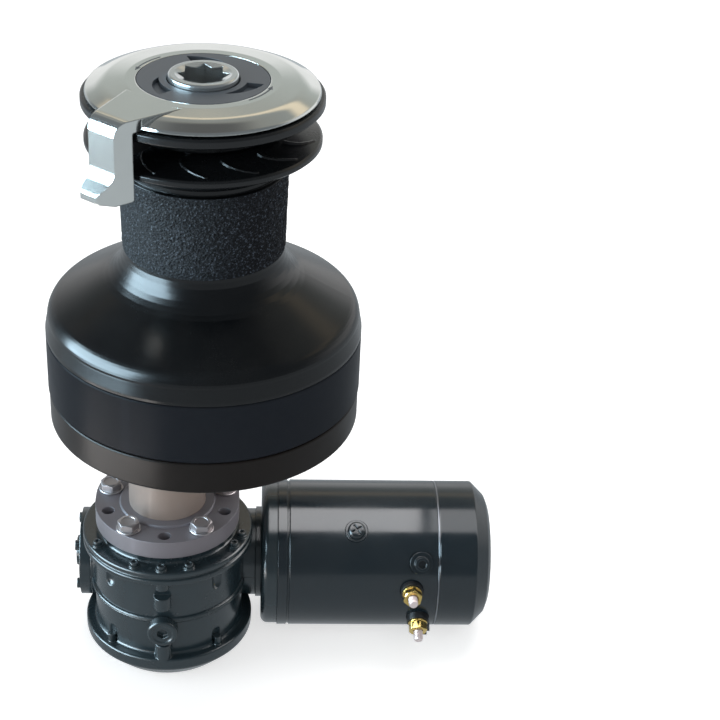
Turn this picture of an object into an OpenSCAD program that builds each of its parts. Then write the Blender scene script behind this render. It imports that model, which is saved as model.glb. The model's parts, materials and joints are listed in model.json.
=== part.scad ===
// Self-tailing two-speed winch with a worm gearbox and a motor below deck.
// The origin is on the drum's axis, where the base ring meets the deck. The motor points along +X.

/* [Base and gear case] */
// Amount by which the base ring stands inside the skirt
base_inset = 0.5; // [0:0.1:2]
// Height of the base ring
base_h = 17; // [16:0.5:20]
// Thickness of the base ring's wall
base_wall = 7; // [6:0.5:8]
// Thickness of the plate that closes the base ring
base_floor = 4; // [3.5:0.5:5]
// Room between the gears and the inside of the fixed skirt
gear_room = 4.6; // [4.2:0.1:6]
// Thickness of the fixed skirt's wall
skirt_wall = 4; // [3:0.5:4.5]
// Thickness of the gear housing's floor
housing_floor = 7; // [6:0.5:9]
// Room between the bridge plate and the teeth of the ring gear
bridge_room = 3.8; // [3:0.1:5]
// Thickness of the bridge plate
bridge_t = 6; // [5:0.5:8]
// Distance of the deck bolts from the base ring's edge
deck_bolt_inset = 16; // [15.5:0.5:18]
// Diameter of the holes for the deck bolts
deck_bolt_d = 8.5; // [8:0.1:9]
// Number of deck bolts
deck_bolts = 5; // [4:1:6]

/* [Gear train] */
// Module of the winch gears
gear_m = 2; // [1.95:0.01:2.02]
// Teeth of the ring gear inside the drum
ring_teeth = 55; // [54:1:55]
// Teeth of the gear on the spindle
spindle_teeth = 18; // [17:1:18]
// Teeth of the idler between the spindle and the first gear
idler_teeth = 14; // [14:1:15]
// Teeth of the gear that the idler turns
first_gear_teeth = 13; // [13:1:14]
// Teeth of the first-speed pinion
first_pinion_teeth = 19; // [19:1:20]
// Teeth of the second-speed pinion
second_pinion_teeth = 12; // [12:1:13]
// Height of the lower row of gears
lower_gear_h = 18; // [16:0.5:20]
// Height of the ring gear
ring_h = 12; // [10:0.5:14]
// Space between one row of gears and what lies over or under it
row_space = 4; // [3.5:0.5:5]
// Radius of the layshaft pins
pin_r = 4.5; // [4:0.1:4.6]
// Amount by which each tooth is thinned, for backlash
tooth_thinning = 0.12; // [0.08:0.01:0.2]

/* [Drum] */
// Height of the drum from its lower edge to the jaw's seat
drum_h = 91.2; // [88:0.5:96]
// Amount by which the grip widens from its start to its end
grip_taper = 1.2; // [0.5:0.1:2]
// Height of the skirt's shoulder above the drum's lower edge
shoulder_h = 13; // [12:0.5:14]
// Amount by which the shoulder stands inside the skirt
shoulder_inset = 1.2; // [0.5:0.1:2.5]
// Rise of the cone between the shoulder and the grip, in degrees
cone_angle = 29.4; // [28:0.2:31]
// Radius that rounds the skirt's shoulder
shoulder_round = 9; // [6:0.5:10]
// Radius of the hollow between the cone and the grip
throat_round = 19.8; // [16:0.2:22]
// Thickness of the drum's outer wall
drum_wall = 5; // [4:0.5:5.5]
// Width of the lower jaw's seat round the neck that carries the jaws
jaw_seat_w = 7.6; // [7.2:0.1:9]
// Wall of the neck that carries the jaws
neck_wall = 3.5; // [3:0.1:4.5]
// Wall of the centre stem, from the crown's spigot to the rollers
stem_wall = 4; // [3.5:0.1:5]
// Diameter of the bearing rollers
roller_d = 5; // [4.6:0.1:5.2]
// Length of the bearing rollers
roller_l = 13; // [11:0.5:14]
// Number of rollers in each bearing
rollers = 14; // [12:1:16]

/* [Jaws and crown] */
// Amount by which the lower jaw stands inside the upper jaw
jaw_inset = 1; // [0:0.1:2]
// Height of the lower jaw's rim above the jaw's seat
lower_rim_h = 12.3; // [11.5:0.1:13]
// Height of the lower jaw's hub above the jaw's seat
lower_hub_h = 16.3; // [15.5:0.1:16.8]
// Travel of the lower jaw against its springs
jaw_travel = 2.5; // [1.5:0.1:2.8]
// Outer radius of the upper jaw
upper_jaw_r = 57; // [55:0.5:57.4]
// Height of the upper jaw's rim
upper_rim_t = 4.8; // [4:0.1:6]
// Height of the upper jaw's rim above the stripper ring's foot
upper_jaw_depth = 7.5; // [7:0.1:9]
// Gap between the hubs of the two jaws
hub_gap = 1; // [0.6:0.1:2]
// Amount by which the crown ring stands inside the upper jaw
crown_inset = 2; // [1:0.1:3]
// Height of the crown ring over the upper jaw
crown_h = 6.1; // [5.5:0.1:7]
// Width of the crown's flat rim round the cap
crown_flat_w = 4.7; // [4:0.1:6]
// Width of the round cap, from the spigot to the crown
cap_w = 10.9; // [10:0.1:11.5]
// Wall of the socket head outside the corners of the handle's square
socket_wall = 4.15; // [3.5:0.05:5]
// Height of the socket's rim above the crown
socket_rise = 2.7; // [1.5:0.1:4]
// Side of the square that the handle socket takes
handle_square = 17.6; // [17:0.1:17.8]
// Depth of the handle socket
handle_depth = 36; // [30:0.5:40]
// Direction of the feeder arm, in degrees from the motor's side
feeder_dir = -129.5; // [-140:0.5:-120]
// Clearance between the feeder arm and the upper jaw
feeder_clear = 1; // [0.6:0.1:2]
// Thickness of the feeder arm's upright part
feeder_t = 8.2; // [7.5:0.1:8.4]
// Height of the feeder arm from its foot to the crown's top
feeder_h = 40; // [38:0.5:42]
// Amount by which the rope ledge stands out of the arm
ledge_out = 6.6; // [4:0.1:8]

/* [Drive] */
// Outer radius of the drive tube
tube_r = 20.2; // [19:0.1:21]
// Wall of the drive tube
tube_wall = 3.4; // [2.5:0.1:4]
// Length of the drive tube below the deck face
tube_l = 59.1; // [50:0.5:90]
// Radius of the drive flange
flange_r = 38; // [37.5:0.5:40]
// Thickness of the drive flange
flange_t = 9.9; // [8:0.1:12]
// Amount by which the flange reaches further to the back
flange_back = 5; // [3:0.5:7]
// Distance of the flange bolts and holes from the flange's edge
flange_bolt_inset = 6; // [5.5:0.1:7]
// Radius of the gearbox's top and bottom rims
gearbox_rim_r = 45; // [43.5:0.5:47]
// Radius of the gearbox's wall
gearbox_r = 40.4; // [39:0.1:41]
// Wall thickness of the gearbox
gearbox_wall = 7; // [6:0.1:8]
// Height of the gearbox from its top rim to its bottom rim
gearbox_h = 68.7; // [66:0.5:72]
// Distance from the gearbox's top rim to the worm's axis
worm_drop = 33.6; // [32.5:0.1:35]
// Module of the worm and its wheel
worm_m = 1; // [0.98:0.01:1]
// Teeth of the worm wheel
wheel_teeth = 28; // [28:1:28]
// Pitch radius of the worm
worm_r = 6; // [5.8:0.1:6.2]
// Module of the two gears under the spindle
drive_m = 1.25; // [1.2:0.01:1.3]
// Teeth of the drive pinion
drive_pinion_teeth = 13; // [13:1:14]
// Teeth of the gear that the drive pinion turns
drive_gear_teeth = 19; // [18:1:20]

/* [Motor] */
// Outer radius of the motor's yoke
motor_r = 40; // [38:0.5:42]
// Wall thickness of the yoke
yoke_wall = 4; // [3:0.5:4.5]
// Length of the yoke
yoke_l = 86; // [80:1:100]
// Gap between the gearbox's rim and the motor's front face
motor_gap = 5; // [4:0.1:8]
// Length of the motor's front cap
front_cap_l = 9; // [8:0.5:12]
// Length of the motor's end cap
end_cap_l = 30; // [28:0.5:36]
// Width of the bevel round the end cap
end_bevel = 7; // [4:0.5:8]
// Radius of the armature shaft
motor_shaft_r = 5; // [4.6:0.1:5.2]
// Radius of the armature's core
core_r = 27; // [25:0.5:27.5]
// Number of slots in the armature's core
core_slots = 12; // [10:1:16]

/* [Hidden] */
$fn = 96;
// Running clearance of a shaft in its bore
fit = 0.05;
// Clearance between pieces that move past each other
gap = 0.3;
// Clearance of a fixed piece in its seat
seat = 0.1;
arc_steps = 7;

pressure = 20;
tooth_height = 0.95;
root_depth = 1.25;
ring_tooth_height = 0.6;
second_gear_teeth = ring_teeth - second_pinion_teeth - spindle_teeth;
first_axis = gear_m * (ring_teeth - first_pinion_teeth) / 2;
second_axis = gear_m * (ring_teeth - second_pinion_teeth) / 2;
idler_axis = gear_m * (spindle_teeth + idler_teeth) / 2;
idler_reach = gear_m * (idler_teeth + first_gear_teeth) / 2;

skirt_r = second_axis + gear_m * (second_gear_teeth / 2 + tooth_height) + gear_room + skirt_wall;
base_r = skirt_r - base_inset;
deck_bolt_circle_r = base_r - deck_bolt_inset;
deck_boss_r = 12;
housing_screw_r = base_r - 12;
screw_boss_r = 9;
screw_r = 3;
screw_sink = 4;
bridge_r = gear_m * (ring_teeth / 2 - ring_tooth_height) - bridge_room;
shoulder_r = skirt_r - shoulder_inset;

base_top = base_h;
floor_top = base_top + housing_floor;
lower_gear_z = floor_top + row_space;
ring_z = lower_gear_z + lower_gear_h + row_space;
bridge_z = ring_z + ring_h + 1;
bridge_top = bridge_z + bridge_t;
skirt_top = ring_z - 1.1;
drum_z = ring_z - 0.5;
shoulder_z = drum_z + shoulder_h;
jaw_z = drum_z + drum_h;

socket_r = handle_square / sqrt(2) + socket_wall;
socket_room = 0.5;
spigot_wall = 2.9;
spigot_r = socket_r + socket_room + spigot_wall;
stem_r = spigot_r + stem_wall;
drum_bore_r = stem_r + roller_d + 2 * fit;
neck_r = drum_bore_r + neck_wall;
drum_top_r = neck_r + jaw_seat_w;
drum_r = drum_top_r - grip_taper;
cone_top_z = shoulder_z + (shoulder_r - drum_r) * tan(cone_angle);
cuff_r = drum_top_r - 2;
crown_hub_r = neck_r + 1.4;
hub_r = neck_r + 3.4;
stripper_r = hub_r + 2.2;
cap_r = spigot_r + seat + cap_w;
crown_flat_r = cap_r + gap + crown_flat_w;
lower_jaw_r = upper_jaw_r - jaw_inset;
crown_r = upper_jaw_r - crown_inset;
feeder_reach = upper_jaw_r + feeder_clear + feeder_t;

stem_flange_t = 4;
stem_flange_r = bridge_r - 10;
stem_screws = 6;
stem_screw_d = 5;
stem_screw_seat = 1.2;
stem_screw_r = stem_flange_r - 5.4;
thrust_t = 2.5;
thrust_w = 6;
hub_z = bridge_top + stem_flange_t + thrust_t + seat;
lower_bearing_z = hub_z + 3;
upper_bearing_z = jaw_z + 1.3;
ring_outer_r = gear_m * (ring_teeth / 2 + 1.25) + 4.5;

hub_foot = 3;
stripper_z = jaw_z + lower_hub_h + hub_gap + hub_foot;
stripper_h = 4;
upper_rim_z = stripper_z + upper_jaw_depth;
crown_z = upper_rim_z + upper_rim_t + gap;
crown_top = crown_z + crown_h;
neck_top = upper_rim_z - 0.2;
stem_top = neck_top + 0.7;
cap_seat = stem_top + 3.6;
spigot_top = crown_top - 2.7;
socket_top = crown_top + socket_rise;
socket_foot = socket_top - handle_depth - 8;
star_r = handle_square / 2 * 1.52;
spindle_r = 11;
spindle_foot_r = spindle_r - 3;
bush_r = spindle_r + 2;
upper_bush_l = 18;

drive_offset = drive_m * (drive_pinion_teeth + drive_gear_teeth) / 2;
drive_gear_z = base_floor + 1;
drive_gear_h = base_h - base_floor - 3;
output_r = 6;
tube_socket = 2;
flange_bolt_circle_r = flange_r - flange_bolt_inset;
flange_bolt_r = 3;
washer_r = 6.4;
collar_h = 1.2;
flange_top = -tube_l;
flange_bottom = flange_top - flange_t;
rim_top = flange_bottom - 5;
rim_bottom = rim_top - gearbox_h;
case_top = rim_top - 7.7;
case_foot = rim_bottom + 11.5;
case_dish = 6.3;
part_step = 0.8;
pad_r = 2.9;
pad_h = 1.2;
case_floor = 10;
worm_z = rim_top - worm_drop;
cavity_r = gearbox_r - gearbox_wall;
tunnel_r = 23.8;
tunnel_end = -62;
cap_t = 6;
bearing_r = 13;
bearing_t = 8;
worm_pitch = PI * worm_m;
wheel_r = worm_m * wheel_teeth / 2;
worm_y = wheel_r + worm_r;
wheel_h = 8;
worm_shaft_r = motor_shaft_r - 1.4;
plug_dir = -91.5;
plug_r = 6;
plug_head_r = 8;
boss_r = 4.6;
flute_dirs = [-136, -48, 160, 48];
flute_r = 3.6;
case_screw_dirs = [-112, -92, -72, -30, -16, -150, 90];
case_screw_inset = 4;
case_screw_r = 1.25;
tunnel_screw_r = 1.5;
tunnel_screw_at = bearing_r + 5.2;

motor_start = gearbox_rim_r - drive_offset + motor_gap;
neck_end = motor_start - 3;
yoke_start = motor_start + front_cap_l;
yoke_end = yoke_start + yoke_l;
motor_end = yoke_end + end_cap_l;
core_start = 10;
winding_l = 4;
commutator_room = 24;
commutator_l = 14;
commutator_r = 13;
brush_plate_t = 3;
brush_l = 12;
brush_w = 7;
brush_h = 6.8;
core_l = yoke_l - core_start - winding_l - commutator_room - 0.7;
commutator_x = yoke_end - commutator_room;
through_bolt_at = motor_r - yoke_wall - 2.5;
terminals = [[yoke_end - 13.8, 6], [yoke_end - 9.3, -24.5]];
insulator_r = 6;
insulator_top = 3.2;
stud_r = 2.5;
nut_top = 8.8;
stud_free = 5;
vent_at = [yoke_end - 9.2, 28.8];
lug_at = [yoke_end - 5, -50];
field_screw_at = [yoke_start + 42, 53];
field_screw_r = 2.5;

lay_angle = acos((pow(first_axis, 2) + pow(idler_axis, 2) - pow(idler_reach, 2))
    / (2 * first_axis * idler_axis));
first_dir = lay_angle / 2;
idler_dir = -lay_angle / 2;
second_dir = 180;
first_at = polar(first_axis, first_dir);
idler_at = polar(idler_axis, idler_dir);
second_at = polar(second_axis, second_dir);

// Turn of each gear at rest, so that its teeth mesh with those of the gear before it
idler_turn = outside_turn(spindle_teeth, 0, idler_teeth, idler_dir);
idler_to_first = direction(first_at - idler_at);
first_gear_turn = outside_turn(idler_teeth, idler_turn, first_gear_teeth, idler_to_first);
first_pinion_turn = inside_turn(ring_teeth, first_pinion_teeth, first_dir);
second_gear_turn = outside_turn(spindle_teeth, 0, second_gear_teeth, second_dir);
second_pinion_turn = inside_turn(ring_teeth, second_pinion_teeth, second_dir);
drive_pinion_turn = outside_turn(drive_gear_teeth, 0, drive_pinion_teeth, 180);

jaw_spring_count = 8;
spring_ring_r = (neck_r + cuff_r) / 2;
spring_r = (cuff_r - neck_r) / 2 - 0.6;
spring_depth = 8;
key_r = 1.6;
jaw_ribs = 14;

// Pawls: radius of each hub, radius of each ratchet's root, and turn of a pawl that has let go
first_hub_r = pin_r + 5.1;
first_ratchet_r = first_hub_r + 2.6;
first_lift = 26;
second_hub_r = pin_r + 9.1;
second_ratchet_r = second_hub_r + 3.2;
second_lift = 23;
ratchet_teeth = 8;
pawl_pin_r = 1;
pawl_play = 0.25;
pawl_h = lower_gear_h - 4;
first_pawl_h = ring_h - 3;
first_pawl = pawl_length(first_hub_r, first_ratchet_r);
second_pawl = pawl_length(second_hub_r, second_ratchet_r);
first_turn = first_dir + 60;
second_turn = 40;

function polar(r, a) = [r * cos(a), r * sin(a)];
function direction(v) = atan2(v[1], v[0]);
function unit(v) = v / norm(v);
function turned(p, a) = [p[0] * cos(a) - p[1] * sin(a), p[0] * sin(a) + p[1] * cos(a)];
function outside_turn(teeth_a, turn_a, teeth_b, dir) =
    dir + 180 + (teeth_a * (dir - turn_a) - 180) / teeth_b;
function inside_turn(teeth_a, teeth_b, dir) = dir - teeth_a * dir / teeth_b;

// Outline with rounded corners: each point is [x, y, radius]
function corner(a, b, c, r) =
    let (u = unit(a - b), v = unit(c - b), half = acos(u * v) / 2)
    let (centre = b + unit(u + v) * r / sin(half), from = b + u * r / tan(half) - centre)
    let (side = sign(cross(from, b + v * r / tan(half) - centre)))
    [for (i = [0:arc_steps]) centre + turned(from, side * i * (180 - 2 * half) / arc_steps)];
function flat(p) = [p[0], p[1]];
function rounded(path) =
    let (n = len(path))
    [for (i = [0:n - 1])
        each path[i][2] > 0
            ? corner(flat(path[(i + n - 1) % n]), flat(path[i]), flat(path[(i + 1) % n]), path[i][2])
            : [flat(path[i])]];

// Involute gear outline
function involute(a) = tan(a) * 180 / PI - a;
function tooth_half(teeth, m, r, thin) =
    let (base = m * teeth * cos(pressure) / 2)
    90 / teeth - thin / (m * teeth) * 180 / PI + involute(pressure) - involute(acos(min(1, base / r)));
function flank_radii(teeth, m, tip, root) =
    let (base = m * teeth * cos(pressure) / 2, low = max(base, root), steps = 4)
    [if (base > root) root, for (i = [0:steps]) low + (tip - low) * i / steps];
function tooth(teeth, m, tip, root, thin) =
    let (radii = flank_radii(teeth, m, tip, root), n = len(radii), base = m * teeth * cos(pressure) / 2)
    [for (i = [0:n - 1]) polar(radii[i], -tooth_half(teeth, m, max(radii[i], base), thin)),
     for (i = [n - 1:-1:0]) polar(radii[i], tooth_half(teeth, m, max(radii[i], base), thin))];

module gear_outline(teeth, m, add = tooth_height, ded = root_depth, thin = tooth_thinning) {
    one = tooth(teeth, m, m * (teeth / 2 + add), m * (teeth / 2 - ded), thin);
    polygon([for (k = [0:teeth - 1]) for (p = one) turned(p, k * 360 / teeth)]);
}

module gear(teeth, m, z, h, turn) {
    translate([0, 0, z]) rotate(turn) linear_extrude(h) gear_outline(teeth, m);
}

module ring(outer, inner, z, h) {
    translate([0, 0, z]) difference() {
        cylinder(r = outer, h = h);
        translate([0, 0, -1]) cylinder(r = inner, h = h + 2);
    }
}

module bore(r, z, h) {
    translate([0, 0, z]) cylinder(r = r, h = h);
}

module around(count, radius, start = 0) {
    for (k = [0:count - 1]) rotate(start + k * 360 / count) translate([radius, 0, 0]) children();
}

// Sealed bearing on the Z axis, with its lower face at z and a shallow recess over each shield
module sealed_bearing(outer, inner, z, t) {
    race = (outer - inner) * 0.28;
    translate([0, 0, z]) rotate_extrude() polygon([
        [inner, 0], [inner + race, 0], [inner + race, 0.6], [outer - race, 0.6], [outer - race, 0],
        [outer, 0], [outer, t], [outer - race, t], [outer - race, t - 0.6],
        [inner + race, t - 0.6], [inner + race, t], [inner, t]]);
}

// Base ring and fixed gear case

module base_ring() {
    color("#4b4036") difference() {
        union() {
            rotate_extrude() polygon(rounded([
                [base_r - base_wall, 0, 0], [base_r, 0, 1.5], [base_r, base_top, 1],
                [base_r - base_wall, base_top, 0]]));
            bore(base_r - base_wall + 1, 0, base_floor);
            translate([0, 0, base_floor - 1]) linear_extrude(base_top - base_floor + 1) intersection() {
                circle(r = base_r - base_wall / 2);
                union() {
                    difference() {
                        circle(r = base_r);
                        circle(r = base_r - base_wall);
                    }
                    around(deck_bolts, deck_bolt_circle_r) circle(r = deck_boss_r);
                    around(deck_bolts, housing_screw_r, 180 / deck_bolts) circle(r = screw_boss_r);
                }
            }
        }
        around(deck_bolts, deck_bolt_circle_r) bore(deck_bolt_d / 2, -1, base_top + 2);
        around(deck_bolts, housing_screw_r, 180 / deck_bolts) bore(screw_r, base_floor, base_top);
        translate([-drive_offset, 0, 0]) {
            bore(tube_r, -1, 1 + tube_socket);
            bore(output_r + 2, -1, base_floor + 2);
        }
    }
}

module pillar(start, stop) {
    steps = 6;
    low = spindle_teeth * gear_m / 2 + gear_m + 4;
    translate([0, 0, floor_top - 1]) linear_extrude(bridge_z - floor_top + 2) polygon([
        for (i = [0:steps]) polar(bridge_r - 0.01, start + (stop - start) * i / steps),
        for (i = [steps:-1:0]) polar(low, start + (stop - start) * i / steps)]);
}

module gear_housing() {
    color("silver") difference() {
        union() {
            bore(skirt_r - skirt_wall - gap, base_top, housing_floor);
            bore(bush_r + 4, base_top, housing_floor + row_space - 0.5);
            pillar(76, 124);
            pillar(-124, -76);
            bore(bridge_r, bridge_z, bridge_t);
        }
        bore(bush_r, base_top - 1, bridge_top);
        for (at = [first_at, idler_at, second_at]) translate([at[0], at[1], 0])
            bore(pin_r, base_top + 2, bridge_top);
        around(deck_bolts, deck_bolt_circle_r) bore(deck_bolt_d / 2, base_top - 1, housing_floor + 2);
        around(deck_bolts, housing_screw_r, 180 / deck_bolts) {
            bore(screw_r, base_top - 1, housing_floor + 2);
            bore(screw_r + 2.2, floor_top - screw_sink, housing_floor);
        }
        around(stem_screws, stem_screw_r) bore(stem_screw_d / 2, bridge_z - 1, bridge_t + 2);
    }
}

module lower_skirt() {
    color("#26282b") rotate_extrude() polygon(rounded([
        [skirt_r - skirt_wall, base_top, 0], [skirt_r - 1.5, base_top, 0], [skirt_r, base_top + 1.5, 0],
        [skirt_r, skirt_top, 1], [skirt_r - skirt_wall, skirt_top, 0]]));
}

module cap_screw(shank_r, shank_l, head_r, head_l, key_r, z) {
    difference() {
        union() {
            bore(shank_r, z - shank_l, shank_l + 0.5);
            bore(head_r, z, head_l);
        }
        translate([0, 0, z + head_l * 0.4]) cylinder(r = key_r, h = head_l, $fn = 6);
    }
}

module housing_screws() {
    color("silver") {
        around(deck_bolts, housing_screw_r, 180 / deck_bolts)
            cap_screw(screw_r, floor_top - screw_sink - base_floor - 2, screw_r + 2, screw_sink, 2.6,
                floor_top - screw_sink);
        around(stem_screws, stem_screw_r)
            cap_screw(stem_screw_d / 2, bridge_t, 4.2, stem_flange_t - stem_screw_seat - 0.1, 2.1,
                bridge_top + stem_screw_seat);
    }
}

module layshaft_pins() {
    color("gray") for (at = [first_at, idler_at, second_at]) translate([at[0], at[1], 0])
        bore(pin_r, base_top + 2, bridge_top - base_top - 2);
}

module spindle_bushes() {
    color("#b08d57") {
        ring(bush_r, spindle_r + fit, base_top, housing_floor);
        ring(bush_r, spindle_r + fit, socket_foot - upper_bush_l - 4, upper_bush_l);
    }
}

module center_stem() {
    color("#8f9296") difference() {
        union() {
            bore(stem_flange_r, bridge_top, stem_flange_t);
            bore(stem_r, bridge_top, stem_top - bridge_top);
            bore(spigot_r, stem_top - 1, spigot_top - stem_top + 1);
        }
        bore(bush_r, bridge_top - 1, socket_foot - bridge_top - 3);
        bore(socket_r + socket_room, socket_foot - 4, spigot_top);
        around(stem_screws, stem_screw_r) {
            bore(stem_screw_d / 2, bridge_top - 1, stem_flange_t + 2);
            bore(4.4, bridge_top + stem_screw_seat, stem_flange_t + 2);
        }
    }
}

module roller_bearing(z) {
    at = stem_r + fit + roller_d / 2;
    low = stem_r + 0.6;
    high = drum_bore_r - 0.6;
    color("#c9c2ae") difference() {
        ring(high, low, z, roller_l + 3);
        around(rollers, at) bore(roller_d / 2 + 0.15, z + 1.4, roller_l + 0.2);
    }
    color("silver") around(rollers, at) bore(roller_d / 2, z + 1.5, roller_l);
}

module roller_bearings() {
    roller_bearing(lower_bearing_z);
    roller_bearing(upper_bearing_z);
}

// The thrust washer under the drum and the sleeves that hold the roller bearings at their heights
module bearing_spacers() {
    flange_z = bridge_top + stem_flange_t;
    middle = lower_bearing_z + roller_l + 3 + gap;
    color("#d9cfae") {
        ring(stem_r + thrust_w, stem_r + seat, flange_z, thrust_t);
        ring(stem_r + 2, stem_r + seat, flange_z + thrust_t, lower_bearing_z - gap - flange_z - thrust_t);
        ring(stem_r + 2, stem_r + seat, middle, upper_bearing_z - gap - middle);
    }
}

// Gear train

module main_spindle() {
    color("#b9bcbf") difference() {
        union() {
            bore(spindle_foot_r, drive_gear_z - 0.5, base_top - drive_gear_z);
            bore(spindle_r, base_top - 0.5, socket_foot - base_top + 2);
            translate([0, 0, socket_foot]) rotate_extrude() polygon(rounded([
                [0, 0, 0], [spindle_r, 0, 0], [socket_r, 4, 0], [socket_r, socket_top - socket_foot, 1.2],
                [star_r, socket_top - socket_foot, 0], [0, socket_top - socket_foot, 0]]));
        }
        for (a = [0, 45]) rotate(a) translate([0, 0, socket_top - handle_depth + handle_depth / 2 + 0.5])
            cube([handle_square, handle_square, handle_depth + 1], center = true);
        translate([0, 0, socket_top - 1.4]) cylinder(r1 = handle_square / 2, r2 = star_r, h = 1.41);
    }
}

// The gear that drives the train and the gear that the drive pinion turns
module spindle_gears() {
    color("#9a9da1") difference() {
        union() {
            gear(spindle_teeth, gear_m, lower_gear_z, lower_gear_h, 0);
            gear(drive_gear_teeth, drive_m, drive_gear_z, drive_gear_h, 0);
        }
        bore(spindle_r, base_top, bridge_z);
        bore(spindle_foot_r, drive_gear_z - 1, base_top);
    }
}

module idler_gear() {
    color("#b08d57") translate([idler_at[0], idler_at[1], 0]) difference() {
        union() {
            gear(idler_teeth, gear_m, lower_gear_z, lower_gear_h, idler_turn);
            bore(pin_r + 3, floor_top + 0.2, ring_z - floor_top - 0.5);
        }
        bore(pin_r + fit, floor_top - 1, bridge_z);
    }
}

// A pawl lies along +Y from its pivot when it is engaged; it turns in towards the hub to let go
module pawl_outline(l) {
    circle(r = pawl_pin_r + 0.9, $fn = 48);
    polygon([[-1.3, 0], [1.9, 0], [1.7, l], [-0.2, l], [-1.3, l * 0.6]]);
}

module pawl_pocket(l, lift) {
    circle(r = pawl_pin_r + 1.05, $fn = 48);
    polygon([[-1.8, -0.6], [9, -0.6], [9, l + 0.6], turned([2, l + 0.6], lift),
        turned([-0.4, l + 0.6], lift + 1), turned([-1.6, l * 0.6], lift + 1)]);
}

// Space inside a ratchet: each tooth's face stands past the end of an engaged pawl of length l
module ratchet_space(hub, root, l) {
    tip = hub + 0.6;
    polygon([for (k = [0:ratchet_teeth - 1], r = [root, tip])
        polar(r, asin((l + pawl_play) / r) + k * 360 / ratchet_teeth)]);
}

function pawl_axis(hub) = hub - pawl_pin_r - 1.4;
// Length of a pawl whose nose reaches close to the ratchet's root
function pawl_length(hub, root) = sqrt(pow(root - 0.2, 2) - pow(pawl_axis(hub) + 1.7, 2));

// Hub with two pawl pockets, between the heights z and z + h
module pawl_hub(hub, l, z, h, lift) {
    difference() {
        bore(hub, z, h);
        for (a = [0, 180]) rotate(a) translate([pawl_axis(hub), 0, z - 1])
            linear_extrude(h + 2) pawl_pocket(l, lift);
    }
}

module pawl(hub, l, z, h, lift) {
    translate([pawl_axis(hub), 0, z]) rotate(lift) linear_extrude(h) difference() {
        pawl_outline(l);
        circle(r = pawl_pin_r + fit, $fn = 48);
    }
}

// Pins of the two pawls of a hub, with a coil of spring wire over each pawl
module pawl_pins(hub, z, h) {
    for (a = [0, 180]) rotate(a) translate([pawl_axis(hub), 0, 0]) {
        bore(pawl_pin_r, z - 2, h + 3);
        translate([0, 0, z + h + 0.5]) rotate_extrude() translate([pawl_pin_r + 0.5, 0])
            circle(r = 0.4, $fn = 16);
    }
}

module pawl_pin_holes(hub, z) {
    for (a = [0, 180]) rotate(a) translate([pawl_axis(hub), 0, 0]) bore(pawl_pin_r, z, 3);
}

// The first set of pawls pushes its pinion, the second set is pushed by its gear, so one mirrors the other
module at_first() {
    translate([first_at[0], first_at[1], 0]) rotate(first_turn) mirror([0, 1, 0]) children();
}

module at_second() {
    translate([second_at[0], second_at[1], 0]) rotate(second_turn) children();
}

module first_gear() {
    color("#8b8e93") difference() {
        union() {
            translate([first_at[0], first_at[1], 0]) {
                gear(first_gear_teeth, gear_m, lower_gear_z, lower_gear_h, first_gear_turn);
                bore(first_hub_r + 1.5, lower_gear_z + lower_gear_h - 1, row_space + 0.7);
                bore(pin_r + 2, floor_top + 0.2, row_space);
            }
            at_first() pawl_hub(first_hub_r, first_pawl, ring_z - 1, ring_h + 1.3, first_lift);
        }
        translate([first_at[0], first_at[1], 0]) bore(pin_r + fit, floor_top - 1, bridge_z);
        at_first() pawl_pin_holes(first_hub_r, ring_z - 1);
    }
}

module first_pinion() {
    color("#a7aaae") difference() {
        translate([first_at[0], first_at[1], 0])
            gear(first_pinion_teeth, gear_m, ring_z, ring_h, first_pinion_turn);
        translate([0, 0, ring_z - 1]) linear_extrude(ring_h + 2)
            at_first() ratchet_space(first_hub_r, first_ratchet_r, first_pawl);
    }
}

module first_pawl_pins() {
    color("gray") at_first() pawl_pins(first_hub_r, ring_z + 1, first_pawl_h);
}

module first_pawl_a() {
    color("#70747a") at_first() pawl(first_hub_r, first_pawl, ring_z + 1, first_pawl_h, 0);
}

module first_pawl_b() {
    color("#70747a") at_first() rotate(180) pawl(first_hub_r, first_pawl, ring_z + 1, first_pawl_h, 0);
}

module second_gear() {
    color("#8b8e93") difference() {
        translate([second_at[0], second_at[1], 0])
            gear(second_gear_teeth, gear_m, lower_gear_z, lower_gear_h, second_gear_turn);
        translate([0, 0, lower_gear_z - 1]) linear_extrude(lower_gear_h + 2)
            at_second() ratchet_space(second_hub_r, second_ratchet_r, second_pawl);
    }
}

module second_pinion() {
    color("#a7aaae") difference() {
        union() {
            translate([second_at[0], second_at[1], 0]) {
                gear(second_pinion_teeth, gear_m, ring_z, ring_h, second_pinion_turn);
                bore(second_hub_r + 2, lower_gear_z + lower_gear_h + gap, row_space - gap);
                bore(pin_r + 2, floor_top + 0.2, row_space);
            }
            at_second()
                pawl_hub(second_hub_r, second_pawl, lower_gear_z - 0.5, lower_gear_h + 1.5, second_lift);
        }
        translate([second_at[0], second_at[1], 0]) bore(pin_r + fit, floor_top - 1, bridge_z);
        at_second() pawl_pin_holes(second_hub_r, lower_gear_z - 1);
    }
}

module second_pawl_pins() {
    color("gray") at_second() pawl_pins(second_hub_r, lower_gear_z + 1, pawl_h);
}

module second_pawl_a() {
    color("#70747a") at_second() pawl(second_hub_r, second_pawl, lower_gear_z + 1, pawl_h, second_lift);
}

module second_pawl_b() {
    color("#70747a") at_second() rotate(180)
        pawl(second_hub_r, second_pawl, lower_gear_z + 1, pawl_h, second_lift);
}

module ring_gear() {
    color("#9a9da1") difference() {
        bore(ring_outer_r, ring_z, ring_h);
        translate([0, 0, ring_z - 1]) linear_extrude(ring_h + 2)
            gear_outline(ring_teeth, gear_m, root_depth, ring_tooth_height, -tooth_thinning);
    }
}

// Drum and jaws

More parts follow.
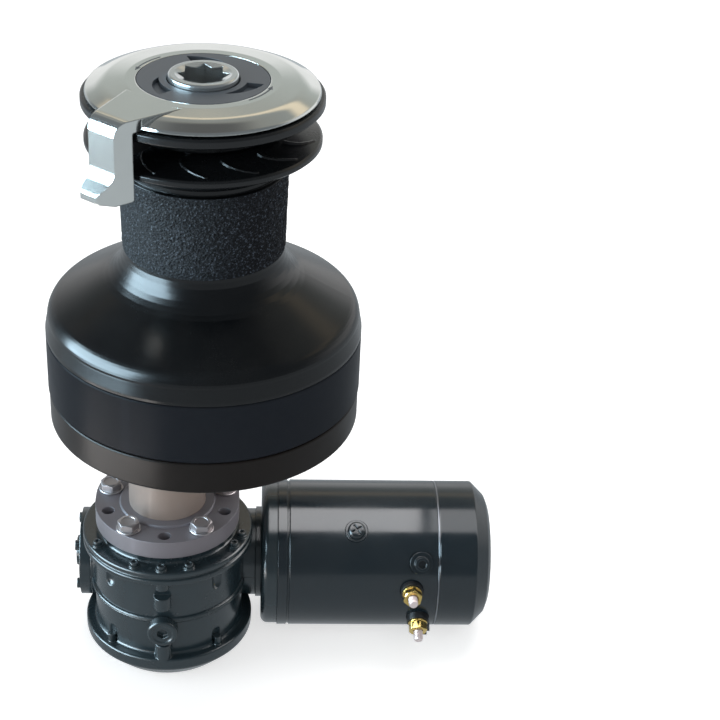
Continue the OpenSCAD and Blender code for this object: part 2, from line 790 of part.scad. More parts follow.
module drum() {
    seat_z = jaw_z - 0.2;
    cuff_z = jaw_z - jaw_travel - 1;
    relief_low = lower_bearing_z + roller_l + 6;
    relief_high = jaw_z - 14;
    rim_r = ring_outer_r + 4;
    inside_r = skirt_r - drum_wall;
    pocket_top = shoulder_z - 2.5;
    color("#26282b") difference() {
        rotate_extrude() polygon(rounded([
            [skirt_r, drum_z, 0], [skirt_r, drum_z + 1.5, 0], [shoulder_r, drum_z + 8, 0],
            [shoulder_r, shoulder_z, shoulder_round], [drum_r, cone_top_z, throat_round],
            [drum_top_r, cuff_z, 0.8], [cuff_r, cuff_z, 0], [cuff_r, seat_z, 0], [neck_r, seat_z, 0],
            [neck_r, neck_top, 0], [drum_bore_r, neck_top, 0], [drum_bore_r, relief_high, 0],
            [neck_r + 0.4, relief_high - 4, 0], [neck_r + 0.4, relief_low + 4, 0], [drum_bore_r, relief_low, 0],
            [drum_bore_r, hub_z, 0], [stem_flange_r + 2, hub_z, 0], [bridge_r + 4, bridge_top + 0.5, 3],
            [bridge_r + 4, ring_z + ring_h, 0], [ring_outer_r, ring_z + ring_h, 0], [ring_outer_r, drum_z, 0],
            [rim_r, drum_z, 0], [rim_r, pocket_top, 2], [inside_r, pocket_top, 2], [inside_r, drum_z, 0]]));
        around(jaw_spring_count, spring_ring_r) bore(spring_r + 0.3, jaw_z - spring_depth, spring_depth + 1);
        around(3, neck_r, 20) bore(key_r, jaw_z + 3, neck_top);
    }
}

module jaw_keys() {
    color("silver") around(3, neck_r, 20) bore(key_r, jaw_z + 3, neck_top - jaw_z - 3);
}

// Curved ribs that stand out of a jaw's face: a ring of slanted strips between two radii
module rib_plan(count, inner, outer, sweep, w) {
    steps = 5;
    middle = [for (i = [0:steps]) polar(inner + (outer - inner) * i / steps, sweep * pow(i / steps, 1.6))];
    for (k = [0:count - 1]) rotate(k * 360 / count) polygon([
        for (i = [0:steps]) turned(middle[i], -w),
        for (i = [steps:-1:0]) turned(middle[i], w)]);
}

module lower_jaw() {
    z = jaw_z;
    rim = z + lower_rim_h;
    r = lower_jaw_r;
    inner_z = z + lower_hub_h;
    color("#1f2124") difference() {
        union() {
            rotate_extrude() polygon(rounded([
                [cuff_r + gap, z + 0.1, 0], [drum_top_r, z + 0.1, 0], [drum_top_r + 2.6, z + 3.4, 4],
                [r - 1.1, z + lower_rim_h - 4, 0], [r, z + lower_rim_h - 3, 0], [r, rim - 0.9, 0],
                [r - 1, rim, 0], [stripper_r - 1.4, inner_z, 0], [neck_r + seat, inner_z, 0],
                [neck_r + seat, z + 3.2, 0], [cuff_r + gap, z + 3.2, 0]]));
            intersection() {
                translate([0, 0, rim - 2]) linear_extrude(10)
                    rib_plan(jaw_ribs, stripper_r + 3, r - 3, 16, 0.9);
                rotate_extrude() polygon([[stripper_r + 3, rim - 2], [r - 3, rim - 2], [r - 3, rim + 0.9],
                    [stripper_r + 3, inner_z + 0.2]]);
            }
        }
        around(3, neck_r, 20) bore(key_r + 0.15, z, lower_hub_h + 1);
    }
}

module jaw_springs() {
    color("silver") around(jaw_spring_count, spring_ring_r)
        ring(spring_r, spring_r - 0.7, jaw_z - spring_depth + gap, spring_depth + 3.2 - 2 * gap);
}

module upper_jaw() {
    low = stripper_z - hub_foot;
    z = upper_rim_z;
    r = upper_jaw_r;
    top = z + upper_rim_t;
    color("#1f2124") difference() {
        union() {
            rotate_extrude() polygon(rounded([
                [neck_r + seat, low, 0], [hub_r, low, 0], [hub_r, stripper_z + stripper_h + 0.4, 0],
                [stripper_r + 0.4, stripper_z + stripper_h + 0.4, 0], [r - 1, z, 0], [r, z + 1, 0],
                [r, top - 0.8, 0], [r - 0.8, top, 0], [crown_hub_r + 0.5, top, 0],
                [crown_hub_r + 0.5, neck_top + 0.1, 0],
                [neck_r + seat, neck_top + 0.1, 0]]));
            intersection() {
                translate([0, 0, z - 6]) linear_extrude(8) mirror([0, 1, 0])
                    rib_plan(jaw_ribs, stripper_r + 3, r - 3, 16, 0.9);
                rotate_extrude() polygon([[stripper_r + 3, z + 1], [r - 3, z + 1], [r - 3, z - 1.1],
                    [stripper_r + 3, stripper_z + stripper_h - 0.2]]);
            }
        }
        around(3, neck_r, 20) bore(key_r + 0.15, low - 1, neck_top - low + 2);
    }
}

// Crown

module crown_body() {
    rotate_extrude() polygon(rounded([
        [spigot_r + seat, stem_top, 0], [crown_hub_r, stem_top, 0], [crown_hub_r, crown_z, 0],
        [crown_r - 1, crown_z, 0], [crown_r, crown_z + 1, 0], [crown_r - 0.6, crown_z + 2.2, 0],
        [(crown_r + crown_flat_r) / 2 + 2, crown_top - 0.9, 16], [crown_flat_r, crown_top, 3],
        [cap_r + gap, crown_top, 0], [cap_r + gap, cap_seat, 0], [spigot_r + seat, cap_seat, 0]]));
}

// The arm runs out along +X here, and its upright part hangs outside the jaws
module arm_plan() {
    polygon(rounded([
        [34, -16.5, 0], [59.5, -10, 0], [feeder_reach, -9.4, 1.5], [feeder_reach + ledge_out, -10.6, 2],
        [feeder_reach + ledge_out, 1, 3], [feeder_reach, 6.2, 2.5], [59.5, 9.6, 3], [34, 16.5, 0]]));
}

module arm_side() {
    out = feeder_reach;
    inside = feeder_reach - feeder_t;
    foot = crown_top - feeder_h;
    polygon(rounded([
        [34, crown_z, 0], [inside, crown_z, 0.8], [inside, foot + 1, 1], [out, foot, 0],
        [out + ledge_out, foot + 1.5, 1.4], [out + ledge_out, foot + 5.5, 2], [out, foot + 13, 9],
        [out, crown_top, 7], [34, crown_top, 0]]));
}

module feeder_crown() {
    color("#b4b6b9") difference() {
        union() {
            crown_body();
            rotate(feeder_dir) intersection() {
                translate([0, 0, crown_top - feeder_h - 1]) linear_extrude(feeder_h + 2) arm_plan();
                rotate([90, 0, 0]) translate([0, 0, -30]) linear_extrude(60) arm_side();
            }
        }
        rotate(feeder_dir) translate([feeder_reach - feeder_t - 1, 0, stripper_z + 1])
            rotate([0, 90, 0]) cylinder(r = 0.9, h = 6);
    }
}

module cap_slot() {
    steps = 12;
    sweep = 48;
    inner = spigot_r + 0.6;
    wide = cap_w - 2.9;
    translate([0, 0, crown_top - 2.3]) linear_extrude(3) polygon([
        for (i = [0:steps]) polar(inner, -sweep * i / steps),
        for (i = [steps - 1:-1:0]) polar(inner + wide * pow(1 - i / steps, 0.8), -sweep * i / steps)]);
}

module top_cap() {
    hole_r = socket_r + socket_room;
    color("#4c535c") difference() {
        rotate_extrude() polygon(rounded([
            [spigot_r + seat, cap_seat, 0], [cap_r, cap_seat, 0], [cap_r, crown_top, 0.5],
            [hole_r, crown_top, 0.4], [hole_r, spigot_top + seat, 0], [spigot_r + seat, spigot_top + seat, 0]]));
        for (k = [0:2]) rotate(108 - k * 120) cap_slot();
    }
}

module stripper_ring() {
    arm_l = feeder_reach - feeder_t - stripper_r;
    color("#2b2d30") difference() {
        union() {
            bore(stripper_r, stripper_z, stripper_h);
            rotate(feeder_dir) translate([stripper_r - 1, -1.6, stripper_z - 3.2])
                cube([arm_l + 1, 3.2, stripper_h + 3]);
        }
        bore(hub_r + 0.4, stripper_z - 5, stripper_h + 10);
        rotate(feeder_dir) translate([stripper_r + arm_l - 5, 0, stripper_z + 1])
            rotate([0, 90, 0]) cylinder(r = 0.9, h = 6);
    }
}

// Drive tube, flange and gearbox

module at_drive() {
    translate([-drive_offset, 0, 0]) children();
}

module along_motor(x = 0) {
    translate([x, worm_y, worm_z]) rotate([0, 90, 0]) children();
}

module drive_tube() {
    color("#a89c8c") at_drive()
        ring(tube_r, tube_r - tube_wall, flange_top - 3, tube_l + tube_socket + 3);
}

module flange_plan(r) {
    circle(r = r);
    translate([0, flange_back]) circle(r = r);
    translate([-r, 0]) square([2 * r, flange_back]);
}

module drive_flange() {
    color("#6d6a7c") at_drive() difference() {
        union() {
            translate([0, 0, flange_bottom]) linear_extrude(flange_t) flange_plan(flange_r);
            translate([0, 0, flange_top - 0.5]) rotate_extrude() polygon(rounded([
                [0, 0, 0], [flange_bolt_circle_r - washer_r - 0.4, 0, 0],
                [flange_bolt_circle_r - washer_r - 0.4, collar_h + 0.5, 0.8], [0, collar_h + 0.5, 0]]));
        }
        bore(tube_r, flange_top - 3, collar_h + 4);
        bore(tube_r - tube_wall, flange_bottom - 1, flange_t + 2);
        around(5, flange_bolt_circle_r, -126) bore(flange_bolt_r, flange_bottom - 1, flange_t + 2);
        around(5, flange_bolt_circle_r, -90) bore(flange_bolt_r + 0.3, flange_bottom - 1, flange_t + 2);
    }
}

module flange_bolts() {
    color("silver") at_drive() around(5, flange_bolt_circle_r, -126) {
        bore(flange_bolt_r, flange_bottom - 9, flange_t + 9.5);
        bore(washer_r, flange_top, 1.2);
        translate([0, 0, flange_top + 1]) cylinder(r = washer_r - 0.63, h = 4.2, $fn = 6);
    }
}

// The gearbox is one turned case with a tunnel for the worm; its halves part at the worm's axis
module case_outside(wall) {
    rim = gearbox_rim_r;
    hub_r = flange_bolt_circle_r + 4;
    top = [
        [0, flange_bottom, 0], [hub_r, flange_bottom, 0], [hub_r, rim_top, 1.5], [rim, rim_top, 1],
        [rim, rim_top - 2.8, 0.6], [rim - 1.2, rim_top - 3.4, 0], [rim - 1.2, rim_top - 4.2, 0],
        [rim, rim_top - 4.8, 0.6], [rim, case_top, 1]];
    foot = [
        [rim, case_foot, 1], [rim, case_foot - 6.5, 3], [rim - 10.5, rim_bottom - case_dish, 6],
        [0, rim_bottom - case_dish, 0]];
    at_drive() rotate_extrude() polygon(rounded(concat(top, wall, foot)));
    along_motor(tunnel_end) cylinder(r = tunnel_r, h = neck_end - tunnel_end);
    for (dir = case_screw_dirs)
        round_boss(dir, gearbox_rim_r - case_screw_inset, rim_top - 1, pad_r, 1 + pad_h);
}

module case_inside() {
    at_drive() {
        bore(cavity_r, rim_bottom + case_floor, gearbox_h - 2 * case_floor);
        bore(output_r + 3, flange_bottom - 20, 30);
        bore(bearing_r, rim_top - case_floor - 0.01, bearing_t + 0.01);
        bore(bearing_r, rim_bottom + case_floor - bearing_t, bearing_t + 0.01);
        bore(output_r + 3, rim_bottom, 20);
        around(5, flange_bolt_circle_r, -126) bore(flange_bolt_r, flange_bottom - 10, 12);
    }
    along_motor(tunnel_end - 1) cylinder(r = bearing_r, h = neck_end - tunnel_end + 2);
}

module case_half(z, h) {
    translate([tunnel_end - 10, -100, z]) cube([200, 250, h]);
}

module round_boss(dir, reach, z, r, h) {
    at_drive() rotate(dir) translate([reach, 0, z]) cylinder(r = r, h = h);
}

// Upright flute in the gearbox's wall from the height z up to z + h, with a round end at the height end_z
module flute(dir, r, z, h, end_z) {
    round_boss(dir, gearbox_r + 1.6, z, r, h);
    at_drive() rotate(dir) translate([gearbox_r + 1.6, 0, end_z]) sphere(r = r);
}

module gearbox_upper() {
    color("#1d2a2e") difference() {
        intersection() {
            union() {
                case_outside([[gearbox_r, case_top - 1, 1.5], [gearbox_r, case_foot, 0]]);
                round_boss(plug_dir, gearbox_r + 0.6, worm_z + 9.5, boss_r, 7.5);
                round_boss(plug_dir, gearbox_r + 0.6, case_top - 4, boss_r - 1, 4.5);
            }
            case_half(worm_z, 100);
        }
        case_inside();
        for (dir = flute_dirs) flute(dir, flute_r, case_top - 9.5, 8.5, case_top - 9.5);
        for (dir = case_screw_dirs)
            round_boss(dir, gearbox_rim_r - case_screw_inset, rim_top - 5, case_screw_r, 6 + pad_h);
        plug_bore();
    }
}

module gearbox_lower() {
    low_r = gearbox_r - part_step;
    color("#1d2a2e") difference() {
        intersection() {
            union() {
                difference() {
                    case_outside([
                        [low_r - 1.2, case_top - 1, 0], [low_r - 1.2, worm_z - 1.6, 0],
                        [low_r, worm_z - 2, 0.6], [low_r, case_foot, 1.5]]);
                    for (dir = flute_dirs) flute(dir, flute_r + 0.2, case_foot + 0.1, 7, case_foot + 7.1);
                }
                for (dir = flute_dirs) round_boss(dir, gearbox_r + 0.2, case_foot - 1, flute_r - 1.5, 6);
                round_boss(plug_dir, gearbox_r, case_foot - 1, boss_r, 10);
            }
            case_half(rim_bottom - 10, worm_z - rim_bottom + 10);
        }
        case_inside();
        plug_bore();
        for (a = [-7, 7]) round_boss(plug_dir + a, gearbox_rim_r - 1.5, rim_bottom - 10, 2.4, 11);
    }
}

module at_plug() {
    at_drive() rotate(plug_dir) translate([gearbox_r, 0, worm_z - 5]) rotate([0, 90, 0]) children();
}

module plug_bore() {
    at_plug() {
        translate([0, 0, -8]) cylinder(r = plug_r, h = 20);
        translate([0, 0, 0.5]) cylinder(r = plug_head_r + gap, h = 12);
    }
}

module oil_plug() {
    color("#1d2a2e") at_plug() difference() {
        union() {
            translate([0, 0, -7]) cylinder(r = plug_r, h = 9);
            translate([0, 0, 0.6]) rotate_extrude() polygon(rounded([
                [0, 0, 0], [plug_head_r, 0, 0], [plug_head_r, 5.4, 1.2], [plug_head_r - 2.2, 5.4, 0],
                [plug_head_r - 3, 4.8, 0], [0, 4.8, 0]]));
        }
        translate([0, 0, 3]) cylinder(r = 3.2, h = 4, $fn = 6);
    }
}

module gearbox_screws() {
    color("#31393c") for (dir = case_screw_dirs)
        at_drive() rotate(dir) translate([gearbox_rim_r - case_screw_inset, 0, 0])
            cap_screw(case_screw_r, 4, 2.3, 1.8, 1.2, rim_top + pad_h);
    color("#31393c") for (k = [0:3]) along_motor(tunnel_end - cap_t) rotate(45 + k * 90)
        translate([tunnel_screw_at, 0, 0]) mirror([0, 0, 1])
            cap_screw(tunnel_screw_r, cap_t, 2.8, 2.6, 1.4, 0);
}

module worm_end_cap() {
    color("#1d2a2e") difference() {
        union() {
            along_motor(tunnel_end - cap_t) cylinder(r = tunnel_r, h = cap_t);
            along_motor(tunnel_end - 1) cylinder(r = bearing_r, h = 5);
            along_motor(tunnel_end - cap_t - 3) cylinder(r1 = 8, r2 = 9, h = 3.5);
        }
        for (k = [0:3]) along_motor(tunnel_end - cap_t - 1) rotate(45 + k * 90)
            translate([tunnel_screw_at, 0, 0]) cylinder(r = tunnel_screw_r, h = cap_t + 2);
    }
}

module output_shaft() {
    color("#b9bcbf") at_drive()
        bore(output_r, rim_bottom + 2, drive_gear_z + drive_gear_h + 0.5 - rim_bottom - 2);
}

module drive_pinion() {
    color("#9a9da1") at_drive() difference() {
        gear(drive_pinion_teeth, drive_m, drive_gear_z, drive_gear_h, drive_pinion_turn);
        bore(output_r, drive_gear_z - 1, drive_gear_h + 2);
    }
}

// The two bearings in the case, and a bush at each end of the tube
module output_bearings() {
    color("#c3c5c8") at_drive() {
        sealed_bearing(bearing_r, output_r + fit, rim_top - case_floor, bearing_t);
        sealed_bearing(bearing_r, output_r + fit, rim_bottom + case_floor - bearing_t, bearing_t);
    }
    color("#b08d57") at_drive() {
        ring(output_r + 2, output_r + fit, tube_socket, base_floor - tube_socket + 0.6);
        ring(output_r + 3, output_r + fit, flange_bottom - 5, 5);
    }
}

module worm_wheel() {
    twist = wheel_h * worm_m / (2 * worm_r) / wheel_r * 180 / PI;
    color("#b08d57") at_drive() difference() {
        union() {
            translate([0, 0, worm_z - wheel_h / 2]) rotate(90 + 180 / wheel_teeth - twist / 2)
                linear_extrude(wheel_h, twist = -twist, slices = 3) gear_outline(wheel_teeth, worm_m);
            bore(output_r + 3, worm_z - wheel_h / 2 - 6, wheel_h + 12);
        }
        bore(output_r, worm_z - wheel_h * 2, wheel_h * 4);
    }
}

// Section of the one-start thread: its radius follows the straight flank of the axial profile
function thread_radius(a) =
    let (half = 90 - 180 * tooth_thinning / worm_pitch, slope = 360 * tan(pressure) / worm_pitch)
    let (d = a > 180 ? 360 - a : a)
    min(worm_r + tooth_height * worm_m, max(worm_r - root_depth * worm_m, worm_r + (half - d) / slope));

module worm() {
    turns = 5;
    l = turns * worm_pitch;
    color("#9a9da1") along_motor(-drive_offset - 2.75 * worm_pitch)
        linear_extrude(l, twist = -360 * turns, slices = 16 * turns, $fn = 20) difference() {
            polygon([for (a = [0:18:342]) polar(thread_radius(a), a)]);
            circle(r = worm_shaft_r + 2 * seat, $fn = 16);
        }
}

module armature_shaft() {
    color("#b9bcbf") {
        along_motor(tunnel_end + 5) cylinder(r = worm_shaft_r, h = neck_end - tunnel_end - 20);
        along_motor(neck_end - 15) cylinder(r = motor_shaft_r, h = motor_end - 6 - neck_end + 15);
    }
}

module along_bearing(x, inner) {
    along_motor(x) sealed_bearing(bearing_r, inner + fit, 0, bearing_t);
}

module motor_bearings() {
    color("#c3c5c8") {
        along_bearing(tunnel_end + 4, worm_shaft_r);
        along_bearing(neck_end - 14, motor_shaft_r);
        along_bearing(motor_end - 12.5, motor_shaft_r);
    }
}

// Motor

module motor_front_cap() {
    inside = motor_r - yoke_wall;
    color("#1d2a2e") difference() {
        along_motor(0) rotate_extrude() polygon(rounded([
            [motor_shaft_r + 1, neck_end, 0], [tunnel_r + 1, neck_end, 0], [tunnel_r + 1, motor_start, 0],
            [motor_r - 0.8, motor_start, 4], [motor_r - 0.8, yoke_start, 0], [inside, yoke_start, 0],
            [inside, yoke_start + 3, 0], [inside - 5, yoke_start + 3, 0],
            [inside - 5, motor_start + 4, 2], [motor_shaft_r + 1, motor_start + 4, 0]]));
        through_holes(yoke_start - 4);
    }
}

module through_holes(x) {
    for (a = [0, 180]) along_motor(x) rotate(a) translate([through_bolt_at, 0, 0]) cylinder(r = 1.6, h = 12);
}

// Local Z points out of the yoke's surface, at x along the motor and turned up from the -Y side
module at_yoke(x, up) {
    translate([x, worm_y, worm_z]) rotate([90 - up, 0, 0]) translate([0, 0, motor_r]) children();
}

module yoke_hole(r) {
    translate([0, 0, -yoke_wall - 2]) cylinder(r = r, h = yoke_wall + 6);
}

module motor_yoke() {
    color("#15191d") difference() {
        along_motor(0) rotate_extrude() polygon([
            [motor_r - yoke_wall, yoke_start], [motor_r, yoke_start], [motor_r, yoke_start + 5],
            [motor_r - 0.7, yoke_start + 5.3], [motor_r - 0.7, yoke_start + 6.2], [motor_r, yoke_start + 6.5],
            [motor_r, yoke_end], [motor_r - yoke_wall, yoke_end]]);
        for (t = terminals) at_yoke(t[0], t[1]) yoke_hole(insulator_r - 2);
        at_yoke(field_screw_at[0], field_screw_at[1]) yoke_hole(field_screw_r);
        for (t = terminals) spot_face(t[0], t[1], insulator_r + 0.2);
        spot_face(field_screw_at[0], field_screw_at[1], 6.2);
        spot_face(vent_at[0], vent_at[1], 6.4);
        spot_face(lug_at[0], lug_at[1], 4.2);
    }
}

// Flat spot on the yoke under a fitting
module spot_face(x, up, r) {
    at_yoke(x, up) translate([0, 0, -0.5]) cylinder(r = r, h = 4);
}

module motor_end_cap() {
    inside = motor_r - yoke_wall;
    color("#1b2327") difference() {
        along_motor(0) rotate_extrude() polygon(rounded([
            [0, motor_end, 0], [motor_r - end_bevel - 5, motor_end, 6],
            [motor_r - end_bevel, motor_end - 2, 2],
            [motor_r, motor_end - end_bevel - 2, 1], [motor_r, yoke_end + 1.5, 0], [motor_r - 1, yoke_end, 0],
            [inside, yoke_end, 0], [inside, yoke_end - 3, 0], [inside - 5, yoke_end - 3, 0],
            [inside - 5, motor_end - 12, 2], [bearing_r, motor_end - 12, 0], [bearing_r, motor_end - 4.5, 0],
            [0, motor_end - 4.5, 0]]));
        through_holes(yoke_end - 8);
    }
}

module through_bolts() {
    color("silver") for (a = [0, 180]) along_motor(yoke_start - 3) rotate(a)
        translate([through_bolt_at, 0, 0]) cylinder(r = 1.55, h = yoke_l + 6);
}

module field_magnets() {
    color("#3a3a3c") difference() {
        along_motor(yoke_start + core_start) ring(motor_r - yoke_wall, core_r + 0.8, 0, core_l);
        translate([yoke_start, worm_y - 7, worm_z - 100]) cube([yoke_l, 14, 200]);
    }
}

// The slotted core with the end turns of its winding
module armature_core() {
    color("#8d6a45") along_motor(yoke_start + core_start) difference() {
        cylinder(r = core_r, h = core_l);
        translate([0, 0, -1]) cylinder(r = motor_shaft_r, h = yoke_l);
        around(core_slots, core_r - 1) translate([0, 0, -1]) cylinder(r = 2.6, h = yoke_l);
    }
    color("#b4632f") for (x = [core_start - winding_l, core_start + core_l])
        along_motor(yoke_start + x) ring(core_r - 4, motor_shaft_r, 0, winding_l);
}

module commutator() {
    color("#b87333") along_motor(commutator_x) difference() {
        ring(commutator_r, motor_shaft_r, 0, commutator_l);
        around(core_slots, commutator_r) translate([-1.2, -0.3, -1]) cube([3, 0.6, commutator_l + 2]);
    }
}

module brush_plate() {
    color("#5c4632") along_motor(commutator_x + 2) difference() {
        union() {
            cylinder(r = motor_r - yoke_wall, h = brush_plate_t);
            around(4, 0, 45) translate([commutator_r + 2.5, -brush_w / 2 - 2, 0])
                cube([brush_l, brush_w + 4, brush_plate_t + brush_h + 2.2]);
        }
        translate([0, 0, -1]) cylinder(r = commutator_r + 1.5, h = 20);
        around(4, 0, 45) translate([commutator_r, -brush_w / 2 - seat, brush_plate_t + 0.5])
            cube([20, brush_w + 2 * seat, brush_h + 2 * seat]);
        around(2, through_bolt_at) translate([0, 0, -1]) cylinder(r = 1.8, h = 8);
    }
}

module brushes() {
    color("#2a2a2c") along_motor(commutator_x + 2 + brush_plate_t + 0.5 + seat) around(4, 0, 45)
        translate([commutator_r + seat, -brush_w / 2, 0]) cube([brush_l, brush_w, brush_h]);
}

module terminal_studs() {
    color("#cfc8c0") for (t = terminals) at_yoke(t[0], t[1]) {
        translate([0, 0, -6]) cylinder(r = stud_r, h = nut_top + 5.6);
        cylinder(r = stud_r - 0.5, h = nut_top + 2);
        translate([0, 0, nut_top + 0.4]) cylinder(r = stud_r, h = stud_free);
        translate([0, 0, nut_top + stud_free + 0.4]) cylinder(r1 = stud_r, r2 = stud_r - 0.5, h = 0.5);
    }
}

module terminal_insulators() {
    color("#101214") for (t = terminals) at_yoke(t[0], t[1]) difference() {
        union() {
            translate([0, 0, -yoke_wall]) cylinder(r = insulator_r - 2, h = yoke_wall + 2);
            translate([0, 0, -0.5]) cylinder(r = insulator_r, h = insulator_top + 0.5);
        }
        translate([0, 0, -8]) cylinder(r = stud_r, h = 20);
    }
}

module terminal_nuts() {
    color("gold") for (t = terminals) at_yoke(t[0], t[1]) difference() {
        union() {
            translate([0, 0, insulator_top]) cylinder(r = 5.2, h = 1);
            translate([0, 0, insulator_top + 1]) rotate(20)
                cylinder(r = 5.3, h = nut_top - insulator_top - 1, $fn = 6);
        }
        cylinder(r = stud_r, h = 20);
    }
}

module field_screw() {
    color("silver") at_yoke(field_screw_at[0], field_screw_at[1]) difference() {
        union() {
            translate([0, 0, -yoke_wall]) cylinder(r = field_screw_r, h = yoke_wall + 2);
            translate([0, 0, 0.4]) rotate_extrude()
                polygon(rounded([[0, 0, 0], [4.8, 0, 0], [4.8, 3, 2.2], [0, 3, 0]]));
        }
        for (a = [30, 120]) rotate(a) translate([-3, -0.6, 2]) cube([6, 1.2, 2]);
    }
    color("#202528") at_yoke(field_screw_at[0], field_screw_at[1]) translate([0, 0, -0.5]) difference() {
        cylinder(r = 6, h = 0.9);
        translate([0, 0, -2]) cylinder(r = field_screw_r, h = 4);
    }
}

// A vent fitting and an earth lug on the yoke
module yoke_fittings() {
    color("#101214") at_yoke(vent_at[0], vent_at[1]) difference() {
        union() {
            translate([0, 0, -0.5]) cylinder(r = 6.2, h = 2.3);
            cylinder(r = 3.8, h = 6.5);
        }
        translate([0, 0, 4]) cylinder(r = 2.2, h = 4);
    }
    color("#101214") at_yoke(lug_at[0], lug_at[1]) translate([0, 0, -0.5]) {
        cylinder(r = 4, h = 4);
        cylinder(r = 2.4, h = 6);
    }
}

base_ring();
gear_housing();
lower_skirt();
housing_screws();
layshaft_pins();
spindle_bushes();
center_stem();
roller_bearings();
bearing_spacers();
main_spindle();
spindle_gears();
idler_gear();
first_gear();
first_pinion();
first_pawl_pins();
first_pawl_a();
first_pawl_b();
second_gear();
second_pinion();
second_pawl_pins();
second_pawl_a();
second_pawl_b();
ring_gear();
drum();
jaw_keys();
lower_jaw();
jaw_springs();
upper_jaw();
feeder_crown();
top_cap();
stripper_ring();
drive_tube();
drive_flange();
flange_bolts();
gearbox_upper();
gearbox_lower();
oil_plug();
gearbox_screws();
worm_end_cap();
output_shaft();
drive_pinion();
output_bearings();
worm_wheel();
worm();
armature_shaft();
motor_bearings();
motor_front_cap();
motor_yoke();
motor_end_cap();
through_bolts();
field_magnets();
armature_core();
commutator();
brush_plate();
brushes();
terminal_studs();
terminal_insulators();
terminal_nuts();
field_screw();
yoke_fittings();
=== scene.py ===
import bmesh
import bpy
import json
import math
from mathutils import Matrix, Vector


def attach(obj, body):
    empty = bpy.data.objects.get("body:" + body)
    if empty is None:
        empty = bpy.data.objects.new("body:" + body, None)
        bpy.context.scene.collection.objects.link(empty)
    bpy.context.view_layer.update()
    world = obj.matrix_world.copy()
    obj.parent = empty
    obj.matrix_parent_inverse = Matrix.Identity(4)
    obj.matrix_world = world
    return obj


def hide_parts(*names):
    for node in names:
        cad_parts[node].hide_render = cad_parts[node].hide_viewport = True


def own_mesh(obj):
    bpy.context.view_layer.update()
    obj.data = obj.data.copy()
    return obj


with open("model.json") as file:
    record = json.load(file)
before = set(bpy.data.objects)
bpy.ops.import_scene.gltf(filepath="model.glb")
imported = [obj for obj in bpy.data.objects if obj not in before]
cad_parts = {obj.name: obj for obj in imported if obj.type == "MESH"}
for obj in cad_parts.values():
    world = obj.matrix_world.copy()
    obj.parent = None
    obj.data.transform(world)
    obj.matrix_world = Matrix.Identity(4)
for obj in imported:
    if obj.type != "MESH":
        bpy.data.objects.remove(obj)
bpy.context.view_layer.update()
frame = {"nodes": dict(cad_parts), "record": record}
nodes = frame["nodes"]
scene = bpy.context.scene
scene.view_settings.view_transform = "Standard"

MM = 0.001
WHITE = (1, 1, 1, 1)

# Where the drive unit is in the CAD, in mm: the gearbox's upright axis, and the worm's and
# motor's axis, which runs along X at the height where the gearbox's halves meet
GEARBOX_X = -20.0
MOTOR_Y, MOTOR_Z = 20.0, -107.6
YOKE_R = 40.0

# Cable terminals: how far along the motor, and the angle up from its front
TERMINALS = ((111.2, 6.0), (115.7, -24.5))

# The drum's (z, r) in mm where the grip lies
GRIP_OUTLINE = ((92.9, 39.43), (96.0, 39.26), (136.4, 40.18), (137.0, 40.0))

# How steeply the corners of a hexagon head are turned off
CHAMFER_SLOPE = 0.6


# Camera, at the photograph's viewing angle: metres, degrees and mm

CAMERA_AT = (0.02682, -0.76813, 0.48927)
CAMERA_YAW, CAMERA_PITCH, CAMERA_ROLL = 3.86, 30.871, 2.757
CAMERA_LENS, CAMERA_SENSOR = 88.25, 36


def aim_camera():
    yaw, pitch, roll = (math.radians(a) for a in (CAMERA_YAW, CAMERA_PITCH, CAMERA_ROLL))
    ahead = Vector((math.sin(yaw) * math.cos(pitch), math.cos(yaw) * math.cos(pitch),
                    -math.sin(pitch)))
    level = Vector((math.cos(yaw), -math.sin(yaw), 0))
    upright = level.cross(ahead)
    right = level * math.cos(roll) + upright * math.sin(roll)
    up = upright * math.cos(roll) - level * math.sin(roll)
    lens = bpy.data.cameras.new("camera")
    lens.lens = CAMERA_LENS
    lens.sensor_width = CAMERA_SENSOR
    lens.clip_start = 0.02
    camera = bpy.data.objects.new("camera", lens)
    turn = Matrix((right, up, -ahead)).transposed().to_4x4()
    camera.matrix_world = Matrix.Translation(CAMERA_AT) @ turn
    scene.collection.objects.link(camera)
    scene.camera = camera


# Node helpers

def put(tree, kind, inputs=None, **settings):
    """Adds a node. An input is a number, a colour or another node's output."""
    node = tree.nodes.new(kind)
    for name, value in settings.items():
        setattr(node, name, value)
    for name, value in (inputs or {}).items():
        socket = node.inputs[name]
        if isinstance(value, bpy.types.NodeSocket):
            tree.links.new(value, socket)
        else:
            socket.default_value = value
    return node


def maths(tree, operation, *values):
    return put(tree, "ShaderNodeMath", dict(enumerate(values)), operation=operation).outputs[0]


def remap(tree, value, low, high, to_low, to_high, **settings):
    """Carries the range from low to high over to another range, and stops at its ends."""
    return put(tree, "ShaderNodeMapRange", {0: value, 1: low, 2: high, 3: to_low, 4: to_high},
               **settings).outputs[0]


def ranged(tree, noise_value, low, high):
    """Spreads a noise, whose values lie mostly from 0.3 to 0.7, over a range."""
    return remap(tree, noise_value, 0.3, 0.7, low, high)


def mixed(tree, factor, a, b):
    return put(tree, "ShaderNodeMix", {0: factor, 6: a, 7: b}, data_type="RGBA").outputs[2]


def noise(tree, place, scale, detail, rough=0.5):
    return put(tree, "ShaderNodeTexNoise", {"Vector": place, "Scale": scale, "Detail": detail,
                                            "Roughness": rough}).outputs[0]


def object_place(tree):
    return put(tree, "ShaderNodeTexCoord").outputs["Object"]


def flattened(tree, place):
    """The place brought down to z = 0, and its height."""
    parts = put(tree, "ShaderNodeSeparateXYZ", {0: place})
    flat = put(tree, "ShaderNodeCombineXYZ", {0: parts.outputs[0], 1: parts.outputs[1], 2: 0.0})
    return flat.outputs[0], parts.outputs[2]


